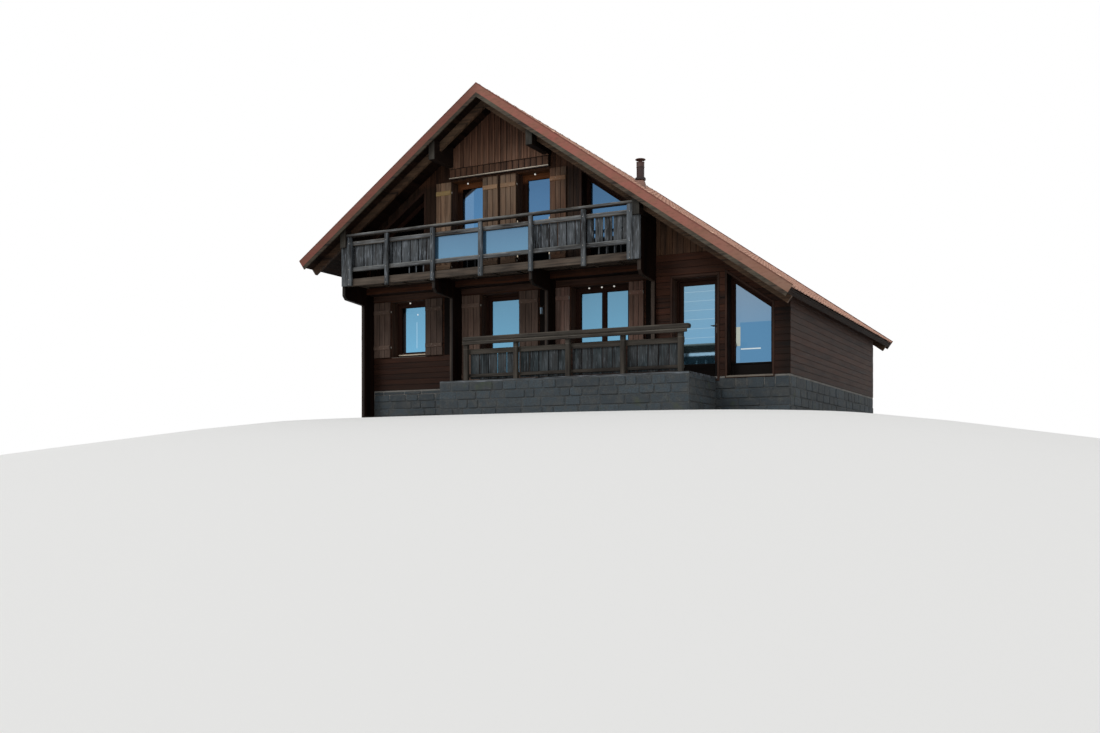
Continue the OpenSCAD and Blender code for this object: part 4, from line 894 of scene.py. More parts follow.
def roofTiles(side, eave, rows, name, seed, stands=()):
    shape, chance = Shape(), random.Random(seed)
    (y0, y1), columns, lip, bed = tiles["y"], tiles["columns"], tiles["lip"], tiles["bed"]
    rowLength, width = eave / cosPitch / rows, (y1 - y0) / columns

    def place(s, y, h):  # s runs down the slope from the ridge, h stands square to it
        return (side * (s * cosPitch + h * sinPitch), y, house["ridgeZ"] - s * sinPitch + h * cosPitch)

    for row in range(rows):
        lowest = row == rows - 1
        s0, s1 = row * rowLength, (row + 1) * rowLength + (-0.012 if lowest else tiles["lap"])
        for column in range(columns):
            y, tone = y0 + column * width, chance.random()
            jog, tip = chance.uniform(-0.004, 0.004), chance.uniform(-0.003, 0.003)
            loose = column == 0 and side > 0  # noses stand up along the front verge
            proud = tiles["loose"] + tiles["wander"] * math.sin(2.4 * row) if loose else 0.0
            base, nose = tiles["lift"] + tip, tiles["lift"] + tiles["step"] + tip + proud
            last = s1 + (0 if lowest else jog)
            edge = [(y + a * width, h) for a, h in tiles["wave"]]
            for (ya, ha), (yb, hb) in pairs(edge):
                noses = [place(last, ya, nose + ha), place(last, yb, nose + hb)]
                under = [place(last, ya, nose + ha - lip - proud), place(last, yb, nose + hb - lip - proud)]
                shape.face([place(s0, ya, base + ha), *noses, place(s0, yb, base + hb)],
                           [(0, ya), (1, ya), (1, yb), (0, yb)], tone)
                shape.face([noses[0], *under, noses[1]], [(1, ya), (1, ya), (1, yb), (1, yb)], tone)
            outer = column in (0, columns - 1)
            for ya, ha in (edge[0], edge[-1]):
                heads = (base + ha, bed if outer else base + ha - lip)
                feet = (bed if outer else nose + ha - lip, nose + ha)
                quad = [place(s0, ya, h) for h in heads] + [place(last, ya, h) for h in feet]
                shape.face(quad if ya == y else quad[::-1], [(0, 0), (0, 0.03), (1, 0.03), (1, 0)], tone)
    finishPiece(shape, name, "clayTile", stands=stands, smooth=38)


ridgeTiles = {"count": 26, "y": (-1.045, 9.445), "radius": 0.119, "centreZ": 6.46, "collar": 0.05,
              "lap": 0.03}


def ridgeRun():
    shape, chance, count, r = Shape(), random.Random(31), ridgeTiles["count"], ridgeTiles["radius"]
    y0, y1 = ridgeTiles["y"]
    pitch = (y1 - y0) / count
    arc = [math.radians(a) for a in range(-84, 85, 12)]

    def at(a, y, radius):
        return (radius * math.sin(a), y, ridgeTiles["centreZ"] + radius * math.cos(a))

    for i in range(count):
        tone, start = chance.random(), y0 + i * pitch
        end = start + pitch + ridgeTiles["lap"] if i < count - 1 else y1
        collar = start + ridgeTiles["collar"]
        rings = [(start, r, collar, r, 0.5), (collar, r - 0.008, end, r - 0.012, 0.5),
                 (start, 0.98 * r, start, r, 0.9)]
        for a, b in pairs(arc):
            for ya, ra, yb, rb, run in rings:
                shape.face([at(a, ya, ra), at(a, yb, rb), at(b, yb, rb), at(b, ya, ra)],
                           [(run, a), (run, a), (run, b), (run, b)], tone)
    for y in (y0, y1):  # end discs
        points = [at(a, y, r) for a in arc] + [at(0, y, -0.02)]
        shape.face(points if y == y0 else points[::-1], [(0.5, 0.5)] * len(points), 0.4)
    finishPiece(shape, "ridge_tile_run", "clayTile", smooth=38)


roofTiles(1, house["rightEave"], 26, "right_roof_tiles", 41, ("roof_tiles",))
roofTiles(-1, house["leftEave"], 18, "left_roof_tiles", 42)
ridgeRun()
print("stage: roof tiled")

# balcony: posts, rails, boards and floor, with their screws and clips
balcony = {"posts": [-2.53, -1.265, 0, 1.265, 2.53], "postHalf": 0.05, "postZ": (2.365, 3.565), "half": 3.669,
           "outer": (-0.915, -0.85), "endX": (3.532, 3.665), "endZ": (2.415, 3.565), "capX": (3.669, 3.828),
           "capY": (-0.903, -0.85), "capZ": (2.415, 3.322), "endScrewX": 3.60,
           "screws": (2.425, 2.54, 2.80, 3.41), "endScrews": (2.45, 2.56, 2.80, 3.41),
           "handrail": [(-0.915, 3.577), (-0.907, 3.567), (-0.793, 3.567), (-0.785, 3.577), (-0.785, 3.622),
                        (-0.800, 3.634), (-0.900, 3.634), (-0.915, 3.622)],
           "railY": (-0.85, -0.805), "rails": [(2.75, 2.85), (3.36, 3.46)], "sag": 0.003,
           "beamX": [(-3.75, -1.26), (-1.257, 1.257), (1.26, 3.75)], "beamY": (-0.85, -0.77),
           "beamZ": (2.415, 2.585), "boardY": (-0.805, -0.783), "boardZ": (2.755, 3.455),
           "bays": [(0.026, [-3.66, -3.53, -3.24, -2.985, -2.70, -2.54]),
                    (0.026, [-2.52, -2.42, -2.17, -1.93, -1.70, -1.48, -1.275]),
                    (0.026, [1.275, 1.478, 1.685, 1.881, 2.096, 2.30, 2.425, 2.52]),
                    (0.038, [2.56, 2.753, 2.966, 3.175, 3.386, 3.66])],
           "narrow": {3.175: 0.030, 3.386: 0.022}, "stubZ": (2.60, 2.755),
           "stubs": (-1.957, -1.764, -1.569, 1.682, 2.848, 3.028, 3.211), "darkStubs": (2.848, 3.211),
           "clipX": (0.914, 1.693), "clipY": (-0.840, -0.818), "clipZ": (2.705, 3.46), "floorX": 3.748,
           "floorZ": (2.515, 2.549), "joistZ": (2.491, 2.515)}


def screwHeads(shape, spots, radius=0.009, proud=0.003):
    for x, y, z in spots:
        extrude(shape, circle(x, z, radius, 8), "y", y - proud, y)


def notchedBoard(x0, x1, z0, z1, notches, depth):
    middle, reach = (z0 + z1) / 2, 0.045
    points = [(x0, z0), (x1, z0)]
    if notches[1]:
        points += [(x1, middle - reach), (x1 - depth, middle), (x1, middle + reach)]
    points += [(x1, z1), (x0, z1)]
    if notches[0]:
        points += [(x0, middle + reach), (x0 + depth, middle), (x0, middle - reach)]
    return points


def balconyPosts(chance):
    posts, outer, half = Shape(), balcony["outer"], balcony["postHalf"]
    for x in balcony["posts"]:
        timber(posts, about(x, half), outer, balcony["postZ"], "z", 0.010, ends=0.18, **grained(chance))
    for side in (-1, 1):
        near, cap = (sorted(side * x for x in balcony[key]) for key in ("endX", "capX"))
        timber(posts, near, outer, balcony["endZ"], "z", 0.010, ends=0.12, **grained(chance))
        timber(posts, cap, balcony["capY"], balcony["capZ"], "z", 0.008, ends=0.12, **grained(chance))
    finishPiece(posts, "balcony_post_timber", "greyTimber", stands=("balcony_posts",))


def balconyRails(chance):
    rails, beam, half, sag = Shape(), Shape(), balcony["half"], balcony["sag"]
    extrude(rails, balcony["handrail"], "x", -half, half, 0.5, drawSlide(chance), 0.05)
    stops = [-half, *balcony["posts"], half]
    for a, b in pairs(stops):
        for z0, z1 in balcony["rails"]:
            drop = chance.uniform(-sag, sag)
            timber(rails, within(a, b, 0.003), balcony["railY"], (z0 + drop, z1 + drop), "x", 0.007,
                   **grained(chance))
    finishPiece(rails, "balcony_rail_timber", "railTimber", stands=("balcony_rails",))
    for x in balcony["beamX"]:
        timber(beam, x, balcony["beamY"], balcony["beamZ"], "x", 0.012, **grained(chance, spread=0.4))
    finishPiece(beam, "balcony_beam_timber", "greyBrown", stands=("balcony_beam",))


def balconyBoards(chance):
    boards, narrow = Shape(), balcony["narrow"]
    low, high = balcony["boardY"]
    for gap, edges in balcony["bays"]:
        depth = 0.008 if gap > 0.03 else 0.0
        for i, (a, b) in enumerate(pairs(edges)):
            notches = (i > 0, i < len(edges) - 2)
            x0, x1 = a + narrow.get(a, gap) / 2, b - narrow.get(b, gap) / 2
            ring = notchedBoard(x0, x1, *balcony["boardZ"], notches, depth)
            extrude(boards, ring, "y", low + chance.uniform(0, 0.003), high, **grained(chance))
    for x in balcony["stubs"]:  # short bits hang under the lower rail
        tone = 0.0 if x in balcony["darkStubs"] else 1.2
        timber(boards, about(x, 0.014), (low + 0.004, high), balcony["stubZ"], "z", 0.004, tone,
               drawSlide(chance))
    finishPiece(boards, "balcony_infill_boards", "infillBoard", stands=("balcony_boards",))


def balconyFloor(chance):
    deck, edges, reach = Shape(), evenBreaks(-0.768, -0.01, 0.126), balcony["floorX"]
    for a, b in pairs(edges):
        timber(deck, (-reach, reach), within(a, b, 0.004), balcony["floorZ"], "x", 0.004, **grained(chance))
    for x in evenBreaks(-3.70, 3.70, 0.62):
        timber(deck, about(x, 0.025), (-0.768, -0.004), balcony["joistZ"], "y", 0.003, 0.3,
               drawSlide(chance))
    finishPiece(deck, "balcony_floor_boards", "greyBrown", stands=("balcony_deck",))


def balconyMetal():
    screws, clips, face = Shape(), Shape(), balcony["outer"][0]
    for x in balcony["posts"]:
        screwHeads(screws, [(x, face, z) for z in balcony["screws"]])
    for x in (-balcony["endScrewX"], balcony["endScrewX"]):
        screwHeads(screws, [(x, face, z) for z in balcony["endScrews"]])
    for x in balcony["clipX"]:  # pins of the clear panels stand out above and below the rails
        for z in balcony["clipZ"]:
            timber(clips, about(x, 0.010), balcony["clipY"], (z, z + 0.045), "z", 0.004)
    finishPiece(screws, "balcony_screws", "paleMetal")
    finishPiece(clips, "panel_clips", "dripBar")


# terrace: posts at an even pitch from the left, boards between them, rails in front and behind
terrace = {"start": 0.05, "pitch": 1.2275, "bays": 4, "boards": 5, "postHalf": 0.05, "postY": (-1.6, -1.51),
           "postZ": (-0.01, 0.83), "boardHalf": 0.103, "boardY": (-1.47, -1.446), "boardZ": (0.02, 0.572),
           "corner": 0.02, "jitter": 0.004,
           "handrail": [(-1.66, 0.848), (-1.645, 0.831), (-1.505, 0.831), (-1.49, 0.848), (-1.49, 0.902),
                        (-1.508, 0.919), (-1.640, 0.919), (-1.66, 0.900)], "handrailX": (0.0, 5.16),
           "rails": [([(0, 2.547), (2.55, 5.11)], (-1.64, -1.601), (0.752, 0.828), 0.009),
                     ([(0, 2.502), (2.505, 5.01)], (-1.51, -1.47), (0.557, 0.667), 0.007),
                     ([(0, 2.502), (2.505, 5.01)], (-1.51, -1.47), (0.06, 0.13), 0.007)],
           "floorX": (-0.598, 5.148), "floorY": (-1.598, -0.002), "floorZ": (-0.044, -0.011), "plank": 0.133,
           "nicheX": [(-0.598, 1.205), (1.295, 3.745)], "nicheY": [(0.003, 0.148), (0.152, 0.297)]}


def terracePosts(chance):
    shape, half = Shape(), terrace["postHalf"]
    for i in range(terrace["bays"] + 1):
        x = terrace["start"] + i * terrace["pitch"]
        timber(shape, about(x, half), terrace["postY"], terrace["postZ"], "z", 0.010, **grained(chance))
    finishPiece(shape, "terrace_post_timber", "terraceTimber", stands=("terrace_posts",))


def terraceRails(chance):
    shape = Shape()
    extrude(shape, terrace["handrail"], "x", *terrace["handrailX"], 0.45, drawSlide(chance), 0.35)
    for spans, y, z, chamfer in terrace["rails"]:
        for x in spans:
            timber(shape, x, y, z, "x", chamfer, **grained(chance))
    finishPiece(shape, "terrace_rail_timber", "terraceTimber", stands=("terrace_rails",))


def terraceBoards(chance):
    shape, jitter, half, pitch = Shape(), terrace["jitter"], terrace["boardHalf"], terrace["pitch"]
    step = (pitch - 2 * terrace["postHalf"]) / terrace["boards"]
    for i in range(terrace["bays"]):
        for k in range(terrace["boards"]):
            x = terrace["start"] + i * pitch + terrace["postHalf"] + (k + 0.5) * step
            top = terrace["boardZ"][1] + chance.uniform(-jitter, jitter)
            foot = terrace["boardZ"][0] + chance.uniform(-jitter, jitter)
            corners = cutCorners(x - half, x + half, foot, top, terrace["corner"])[3:7]  # only the upper ones
            ring = [(x - half, foot), (x + half, foot), *corners]
            extrude(shape, ring, "y", *terrace["boardY"], **grained(chance))
    finishPiece(shape, "terrace_infill_boards", "terraceBoard", stands=("terrace_boards",))


def terraceFloor(chance):
    shape, edges = Shape(), evenBreaks(*terrace["floorY"], terrace["plank"])
    rows = [(terrace["floorX"], within(a, b, 0.003)) for a, b in pairs(edges)]
    rows += [(x, y) for x in terrace["nicheX"] for y in terrace["nicheY"]]
    for x, y in rows:
        timber(shape, x, y, terrace["floorZ"], "x", 0.003, **grained(chance))
    finishPiece(shape, "terrace_floor_boards", "greyBrown")


def buildInTurn(seed, builds):  # all of them draw from one chance
    chance = random.Random(seed)
    for build in builds:
        build(chance)


buildInTurn(51, (balconyPosts, balconyRails, balconyBoards, balconyFloor))
balconyMetal()
buildInTurn(61, (terracePosts, terraceRails, terraceBoards, terraceFloor))
print("stage: railings built")

# shutters: pin, side, width, foot, head, wall and finish; they hang open beside their opening
# the finishes are lit and shaded copies of the shutter wood: painted light and painted shade per leaf
shutters = {
    "window_shutter_left": (-3.23, -1, 0.479, 0.812, 2.158, bayY, "lowShutter"),
    "window_shutter_right": (-2.23, 1, 0.479, 0.812, 2.158, bayY, "lowShutterDark"),
    "french_shutter_left": (-0.68, -1, 0.489, 0.02, 2.158, bayY, "gardenShutter"),
    "french_shutter_right": (0.34, 1, 0.489, 0.02, 2.158, bayY, "lowShutter"),
    "upper_shutter_1": (-1.29, -1, 0.399, 2.57, 4.788, 0.0, "shutterPale"),
    "upper_shutter_2": (-0.45, 1, 0.399, 2.57, 4.788, 0.0, "shutterWood"),
    "upper_shutter_3": (0.45, -1, 0.399, 2.57, 4.788, 0.0, "shutterWood"),
    "upper_shutter_4": (1.29, 1, 0.399, 2.57, 4.788, 0.0, "shutterDark"),
}
ledge = {"inset": 0.19, "height": 0.10, "thick": 0.016, "screws": (0.14, 0.38, 0.62, 0.86)}
strap = {"inset": 0.24, "half": 0.02, "thick": 0.0025, "start": 0.008, "reach": 0.26,
         "sleeve": (0.010, 0.0063)}
leaf = {"pinOut": 0.02, "gap": 0.015, "back": 0.0025, "face": 0.0345}
folding = {"starts": (1.305, 3.095), "width": 0.34, "z": (0.812, 2.158),
           "leaves": [(0.280, 0.253), (0.251, 0.224)], "block": (0.14, 0.20),
           "knuckles": [(-0.006, 0.252), (0.338, 0.225)]}


def boardPanel(shape, chance, x0, x1, z0, z1, back, face):
    edges = [x0 + (x1 - x0) * i / 3 for i in range(4)]
    edges[1:3] = [e + chance.uniform(-0.008, 0.008) for e in edges[1:3]]
    middle, bevel = (back + face) / 2, 0.004
    for e in edges[1:3]:  # dark tongues show in the joints
        timber(shape, about(e, 0.012), about(middle, 0.003), within(z0, z1, 0.002), "z",
               0.001, -2.0)
    for a, b in pairs(edges):
        a, b = a if a == x0 else a + 0.005, b if b == x1 else b - 0.005
        edge = face + bevel
        ring = [(a, back), (b, back), (b, edge), (b - bevel, face), (a + bevel, face), (a, edge)]
        foot, head = z0 + chance.uniform(0, 0.001), z1 - chance.uniform(0, 0.001)
        extrude(shape, ring, "z", foot, head, **grained(chance))


def ledges(shape, metal, chance, x0, x1, z0, z1, face):
    proud, height = face - ledge["thick"], ledge["height"]
    for z in (z0 + ledge["inset"], z1 - ledge["inset"] - height):
        timber(shape, within(x0, x1, 0.006), (proud, face), (z, z + height), "x", 0.007,
               **grained(chance, 1.0, 0.5))
        spots = [(x0 + (x1 - x0) * f, proud, z + 0.03 + 0.04 * (i % 2))
                 for i, f in enumerate(ledge["screws"])]
        screwHeads(metal, spots, 0.005, 0.0015)


def sleeve(shape, x, y, z0, z1, outer, inner, count=20):
    loops = [circle(x, y, r, count, (z,)) for r, z in ((outer, z0), (outer, z1), (inner, z1), (inner, z0))]
    for i in range(count):
        j = (i + 1) % count
        for low, high in ringPairs(loops):
            shape.face([low[i], low[j], high[j], high[i]])


def shutterLeaf(name, pinX, side, width, z0, z1, wallY, finish):
    chance, wood, metal = random.Random(name), Shape(), Shape()
    pinY, near = wallY - leaf["pinOut"], leaf["gap"]
    x0, x1 = sorted((pinX + side * near, pinX + side * (near + width)))
    boardPanel(wood, chance, x0, x1, z0, z1, pinY - leaf["back"], pinY - leaf["face"])
    ledges(wood, metal, chance, x0, x1, z0, z1, pinY - leaf["face"])
    half, thick = strap["half"], strap["thick"]
    for z in (z0 + strap["inset"], z1 - strap["inset"]):
        span = sorted((pinX + side * strap["start"], pinX + side * strap["reach"]))
        timber(metal, span, about(pinY, thick), about(z, half), "x", 0.001)
        sleeve(metal, pinX, pinY, z - half, z + half, *strap["sleeve"])
    finishPiece(wood, name + "_boards", finish, name + "_leaf", (name,))
    finishPiece(metal, name + "_straps", "paleMetal", name + "_leaf", smooth=40)


def foldStacks():
    wood, metal, chance = Shape(), Shape(), random.Random(71)
    (z0, z1), leaves = folding["z"], folding["leaves"]
    for x0 in folding["starts"]:
        x1 = x0 + folding["width"]
        for back, face in leaves:
            boardPanel(wood, chance, x0, x1, z0, z1, back, face)
        ledges(wood, metal, chance, x0, x1, z0, z1, face)
        for z in (z0 + strap["inset"], z1 - strap["inset"]):
            block = [x0 + reach for reach in folding["block"]]
            timber(wood, block, (leaves[0][0], bayY), about(z, 0.03), "z", 0.003, 0.3)
            for reach, y in folding["knuckles"]:
                x = x0 + reach
                timber(metal, (x, x + 0.008), about(y, 0.02), about(z, 0.035), "z", 0.002)
    finishPiece(wood, "folding_shutter_boards", "lowShutterPale",
                stands=("folding_shutters",))
    finishPiece(metal, "folding_shutter_hinges", "paleMetal")


for name, values in shutters.items():
    shutterLeaf(name, *values)
foldStacks()
print("stage: shutters built")

# windows: sash rings over the fixed frame, a bead beside the glass and drip bars
sashes = {"width": 0.055, "sash": 0.085, "mullion": 0.12, "face": -0.245, "glass": -0.2705, "single": 0.078,
          "double": 0.058, "fixed": 0.04, "rim": 0.0975}
upperDoor = {"border": 0.14, "paneZ": (2.78, 4.66), "kickInset": 0.06, "kickY": (0.227, 0.245),
             "kickZ": (2.60, 2.76)}
dripBars = {"x": [(-3.17, -2.29), (1.72, 3.02)], "y": (0.510, 0.539), "z": (0.86, 0.89)}


def dressWindow(wood, place, outline, panes, bead):
    face = sashes["face"]
    moulding(wood, place, shrink(outline, 0.004), 0.046, face - 0.001, face + 0.006, 0.45)
    for pane in panes:
        moulding(wood, place, shrink(pane, -bead), bead - 0.014, face - 0.001, face + 0.014, 0.6)
        moulding(wood, place, shrink(pane, -0.016), 0.016, sashes["glass"], face + 0.004, 0.4, 0.005)


def casement(wood, place, outline, count):
    (x0, z0), (x1, z1) = outline[0], outline[2]
    rim, mullion = sashes["width"] + sashes["sash"], sashes["mullion"]
    wide = (x1 - x0 - 2 * rim - (count - 1) * mullion) / count
    starts = [x0 + rim + i * (wide + mullion) for i in range(count)]
    panes = [rect(s, s + wide, z0 + rim, z1 - rim) for s in starts]
    dressWindow(wood, place, outline, panes, sashes["single" if count == 1 else "double"])


def windows():
    wood, orange, metal, rim = Shape(), Shape(), Shape(), sashes["rim"]
    casement(wood, bay, openings["leftWindow"], 1)
    casement(wood, bay, openings["rightWindow"], 2)
    pane = clip(slantWindow(rim), 0, -1, -0.285)
    dressWindow(wood, front, slantWindow(), [pane], sashes["fixed"])
    for side, name in ((-1, "upperLeft"), (1, "upperRight")):
        dressWindow(wood, front, gableWindow(side), [gableWindow(side, rim)], sashes["fixed"])
        x0, x1 = openings[name][0][0], openings[name][1][0]
        pane = rect(*within(x0, x1, upperDoor["border"]), *upperDoor["paneZ"])
        dressWindow(orange, front, openings[name], [pane], sashes["single"])
        timber(orange, within(x0, x1, upperDoor["kickInset"]), upperDoor["kickY"], upperDoor["kickZ"], "x",
               0.006, 0.4)
    for place, group, count in ((rear, "rearLow", 2), (rear, "rearHigh", 1), (left, "side", 1)):
        for opening in openings[group]:
            casement(wood, place, opening, count)
    for x in dripBars["x"]:  # on the lower sash rails
        timber(metal, x, dripBars["y"], dripBars["z"], "x", 0.004)
    finishPiece(wood, "window_sashes", "doorWood")
    finishPiece(orange, "upper_door_sashes", "doorSash")
    finishPiece(metal, "sash_drip_bars", "dripBar")


door = {"hingeGap": 0.061, "lockGap": 0.065, "headGap": 0.061, "border": 0.085, "paneFoot": 0.30,
        "face": -0.264, "glass": -0.281, "kickY": (0.252, 0.265), "kickZ": (0.02, 0.285),
        "handleInset": 0.043}


# the handle stands at x and y: a plate with a spindle, a lever and a keyhole
def doorHandle(metal, x, y):
    extrude(metal, rect(x - 0.016, x + 0.016, 0.93, 1.13), "y", y + 0.248, y + 0.2565)
    extrude(metal, circle(x, 1.09, 0.009, 14), "y", y + 0.217, y + 0.249)
    timber(metal, (x - 0.115, x + 0.009), (y + 0.213, y + 0.229), (1.081, 1.099), "x", 0.005)
    extrude(metal, circle(x, 1.0, 0.011, 14), "y", y + 0.245, y + 0.249)


def doorLeaf(name, opening, y, place):
    wood, metal, kick, body = Shape(), Shape(), Shape(), name + "_leaf"
    face, border = door["face"], door["border"]
    (x0, _), (x1, height) = openings[opening][0], openings[opening][2]
    x0, x1, z1 = x0 + door["hingeGap"], x1 - door["lockGap"], height - door["headGap"]
    pane = rect(x0 + border, x1 - border, door["paneFoot"], z1 - border)
    moulding(wood, place, rect(x0 + 0.002, x1 - 0.002, 0.008, z1 - 0.002), border - 0.006, face - 0.001,
             face + 0.008)
    moulding(wood, place, shrink(pane, -0.016), 0.016, door["glass"], face + 0.006, 0.4, 0.005)
    kickY = [y + d for d in door["kickY"]]
    # painted shade: the kick board takes the near black finish
    timber(kick, within(x0, x1, border - 0.002), kickY, door["kickZ"], "x", 0.006, 0.2)
    doorHandle(metal, x1 - door["handleInset"], y)
    finishPiece(kick, name + "_kick_board", "nearBlack", body)
    finishPiece(wood, name + "_beads", "doorWood", body)
    finishPiece(metal, name + "_handle", "darkMetal", body, smooth=40)


def doorTrim():
    wood, pale = Shape(), Shape()
    for place, x0, x1, top in ((bay, -0.68, 0.34, headZ), (front, 4.2, 5.19, 2.11)):
        moulding(wood, place, shrink(rect(x0, x1, -0.04, top), 0.004), 0.044, -0.246, -0.239)
    finishPiece(wood, "door_frame_trim", "joinery")
    # span, depth and height of each strip, and its chamfer
    strips = [((-0.672, 0.332), (0.31, 0.55), (-0.001, 0.004), 0.002),
              ((4.208, 5.182), (0.01, 0.25), (-0.001, 0.004), 0.002),
              ((5.41, 6.34), (0.01, 0.24), (-0.001, 0.012), 0.003),
              ((5.38, 6.37), (-0.03, 0.02), (-0.03, 0.004), 0.004),
              ((-3.222, -2.238), (0.294, 0.54), (0.79, 0.805), 0.004),
              ((1.668, 3.072), (0.294, 0.54), (0.79, 0.805), 0.004)]
    for x, y, z, chamfer in strips:
        timber(pale, x, y, z, "x", chamfer)
    finishPiece(pale, "sills_and_thresholds", "paleStrip")


# casings round the openings that have no shutters, and boards over the shuttered ones
def casings():
    shape, rows = Shape(), [(front, rect(4.2, 5.19, -0.05, 2.11), 0.045, 0.026, 0.45)]
    rows.append((front, slantWindow(), 0.045, 0.026, 0.45))
    rows += [(front, gableWindow(side), 0.06, 0.024, 0.5) for side in (-1, 1)]
    rows += [(rear, opening, 0.07, 0.026, 0.5) for opening in openings["rearLow"] + openings["rearHigh"]]
    rows += [(left, opening, 0.07, 0.026, 0.5) for opening in openings["side"]]
    for place, outline, wide, proud, tone in rows:
        moulding(shape, place, shrink(outline, -wide), wide, -0.03, proud, tone)
    for a, b in walls["bays"]:  # board under the overhang of each bay
        timber(shape, (a, b), (0.27, 0.289), (2.19, 2.328), "x", 0.006, 0.55, (a, 3))
    finishPiece(shape, "opening_casings", "casing")


# boards that line the reveals, paler and warmer under the heads of the upper doors
def linings():
    shape, head = Shape(), Shape()
    for name in ("leftWindow", "rightWindow", "garden", "extensionDoor", "upperLeft", "upperRight"):
        y = bayY if name in ("leftWindow", "rightWindow", "garden") else 0.0
        (x0, z0), (x1, z1) = openings[name][0], openings[name][2]
        for a in (x0 + 0.001, x1 - 0.009):
            for c in (0.002, 0.124):
                timber(shape, (a, a + 0.008), (y + c, y + c + 0.118), within(z0, z1, 0.012), "z", 0.002,
                       0.5, (a, c))
        timber(head if "upper" in name else shape, within(x0, x1, 0.002), (y + 0.002, y + 0.242),
               (z1 - 0.010, z1 - 0.001), "x", 0.002, 0.5, (x0, 4))
    finishPiece(shape, "reveal_linings", "lining")
    finishPiece(head, "head_linings", "headLining")


# painted shade: dark upright boards beside the wing walls stand for the shade there
def sideShadeBoards():
    shape = Shape()
    for a, b in ((-1.70, -1.33), (0.87, 1.17), (3.47, 3.71)):
        for x0, x1 in ((a, (a + b) / 2), ((a + b) / 2, b)):
            timber(shape, within(x0, x1, 0.002), (0.281, bayY), (0.81, headZ), "z", 0.005, 0.3, (x0, 5))
    finishPiece(shape, "bay_side_boards", "nearBlack")


# boards on the front edges of the wing walls, along the underside of each corbel
wings = {"x": [(-3.83, -3.75), (-1.29, -1.21), (1.21, 1.29), (3.75, 3.83)], "thick": 0.012,
         "path": [(-0.1, -0.798), (-0.1, 2.07), (-0.77, 2.12), (-0.85, 2.2), (-0.85, 2.413)]}


def wingEdges():
    shape, path, normals, outer = Shape(), wings["path"], [], []
    for (ya, za), (yb, zb) in pairs(path):
        run = math.dist((ya, za), (yb, zb))
        normals.append(((za - zb) / run, (yb - ya) / run))
    for (y, z), (ay, az), (by, bz) in zip(path, normals[:1] + normals, normals + normals[-1:]):
        reach = wings["thick"] / (1 + ay * by + az * bz)  # the outer line meets in a mitre
        outer.append((y + (ay + by) * reach, z + (az + bz) * reach))
    for x0, x1 in wings["x"]:
        for i in range(len(path) - 1):
            run, a, b = math.dist(path[i], path[i + 1]), outer[i], outer[i + 1]
            grain = [(i * 3, 0), (i * 3 + run, 0), (i * 3 + run, 0.08), (i * 3, 0.08)]
            shape.face([(x0, *a), (x0, *b), (x1, *b), (x1, *a)], grain, 0.5)
            shape.face([(x0, *path[i]), (x0, *path[i + 1]), (x0, *b), (x0, *a)], grain, 0.4)
            shape.face([(x1, *a), (x1, *b), (x1, *path[i + 1]), (x1, *path[i])], grain, 0.4)
    finishPiece(shape, "wing_edge_boards", "wingEdge")


purlins = {"x": (-3.75, -1.25, 1.25, 3.75), "half": 0.08, "deep": 0.32, "gap": 0.003,
           "caps": [(-0.946, -0.94), (9.34, 9.346)]}


def purlinEnds():
    shape = Shape()
    for x in purlins["x"]:
        x0, x1 = about(x, purlins["half"])
        foot = soffit(max(abs(x0), abs(x1))) - purlins["deep"]
        ring = shrink(underRoof(x0, x1, foot), purlins["gap"])
        for y0, y1 in purlins["caps"]:
            extrude(shape, ring, "y", y0, y1, 0.5, (x, 2))
    finishPiece(shape, "purlin_ends", "purlinEnd")


pipe = {"x": 1.8, "y": 4.0, "stays": 4, "stayRing": 0.0925,
        "shaft": [(0.1, 5.05), (0.1, 5.395), (0.128, 5.402), (0.135, 5.41), (0.135, 5.455), (0.128, 5.466),
                  (0.106, 5.47), (0.098, 5.475), (0.098, 5.72), (0.104, 5.724), (0.104, 5.74), (0.1, 5.745),
                  (0.1, 5.845), (0.104, 5.849), (0.104, 5.86), (0.088, 5.86), (0.086, 5.5)],
        "cap": [(0.086, 5.922), (0.126, 5.92), (0.13, 5.926), (0.13, 5.934), (0.124, 5.94), (0.05, 5.954),
                (0.0, 5.959)],
        "skirt": [(0.178, -0.055, 1.0), (0.176, -0.012, 1.0), (0.165, 0.0, 1.0), (0.14, 0.03, 0.8),
                  (0.115, 0.062, 0.25), (0.101, 0.072, 0.0)]}


def flue():
    shape, x, y = Shape(), pipe["x"], pipe["y"]
    lathe(shape, x, y, pipe["shaft"])
    lathe(shape, x, y, pipe["cap"])
    for i in range(pipe["stays"]):
        a = math.radians(45 + 90 * i)
        reach = pipe["stayRing"]
        lathe(shape, x + reach * math.cos(a), y + reach * math.sin(a), [(0.006, 5.85), (0.006, 5.925)], 12)
    lathe(shape, x, y, [(0.0, 5.922), (0.09, 5.921)])
    finishPiece(shape, "flue_pipe", "flueMetal", stands=("chimney",), smooth=40)
    shape, count, loops = Shape(), 36, []
    for r, h, tilt in pipe["skirt"]:  # the skirt follows the slope below and turns level at the pipe
        flat, disc = cosPitch if tilt == 1 else 1, circle(0, 0, r, count)
        loops.append([(x + u * flat, y + v, roofTop(x) - u * sinPitch * tilt + h) for u, v in disc])
    for low, high in pairs(loops):
        for i in range(count):
            j = (i + 1) % count
            shape.face([low[i], low[j], high[j], high[i]])
    finishPiece(shape, "flue_flashing", "flashMetal", smooth=50)


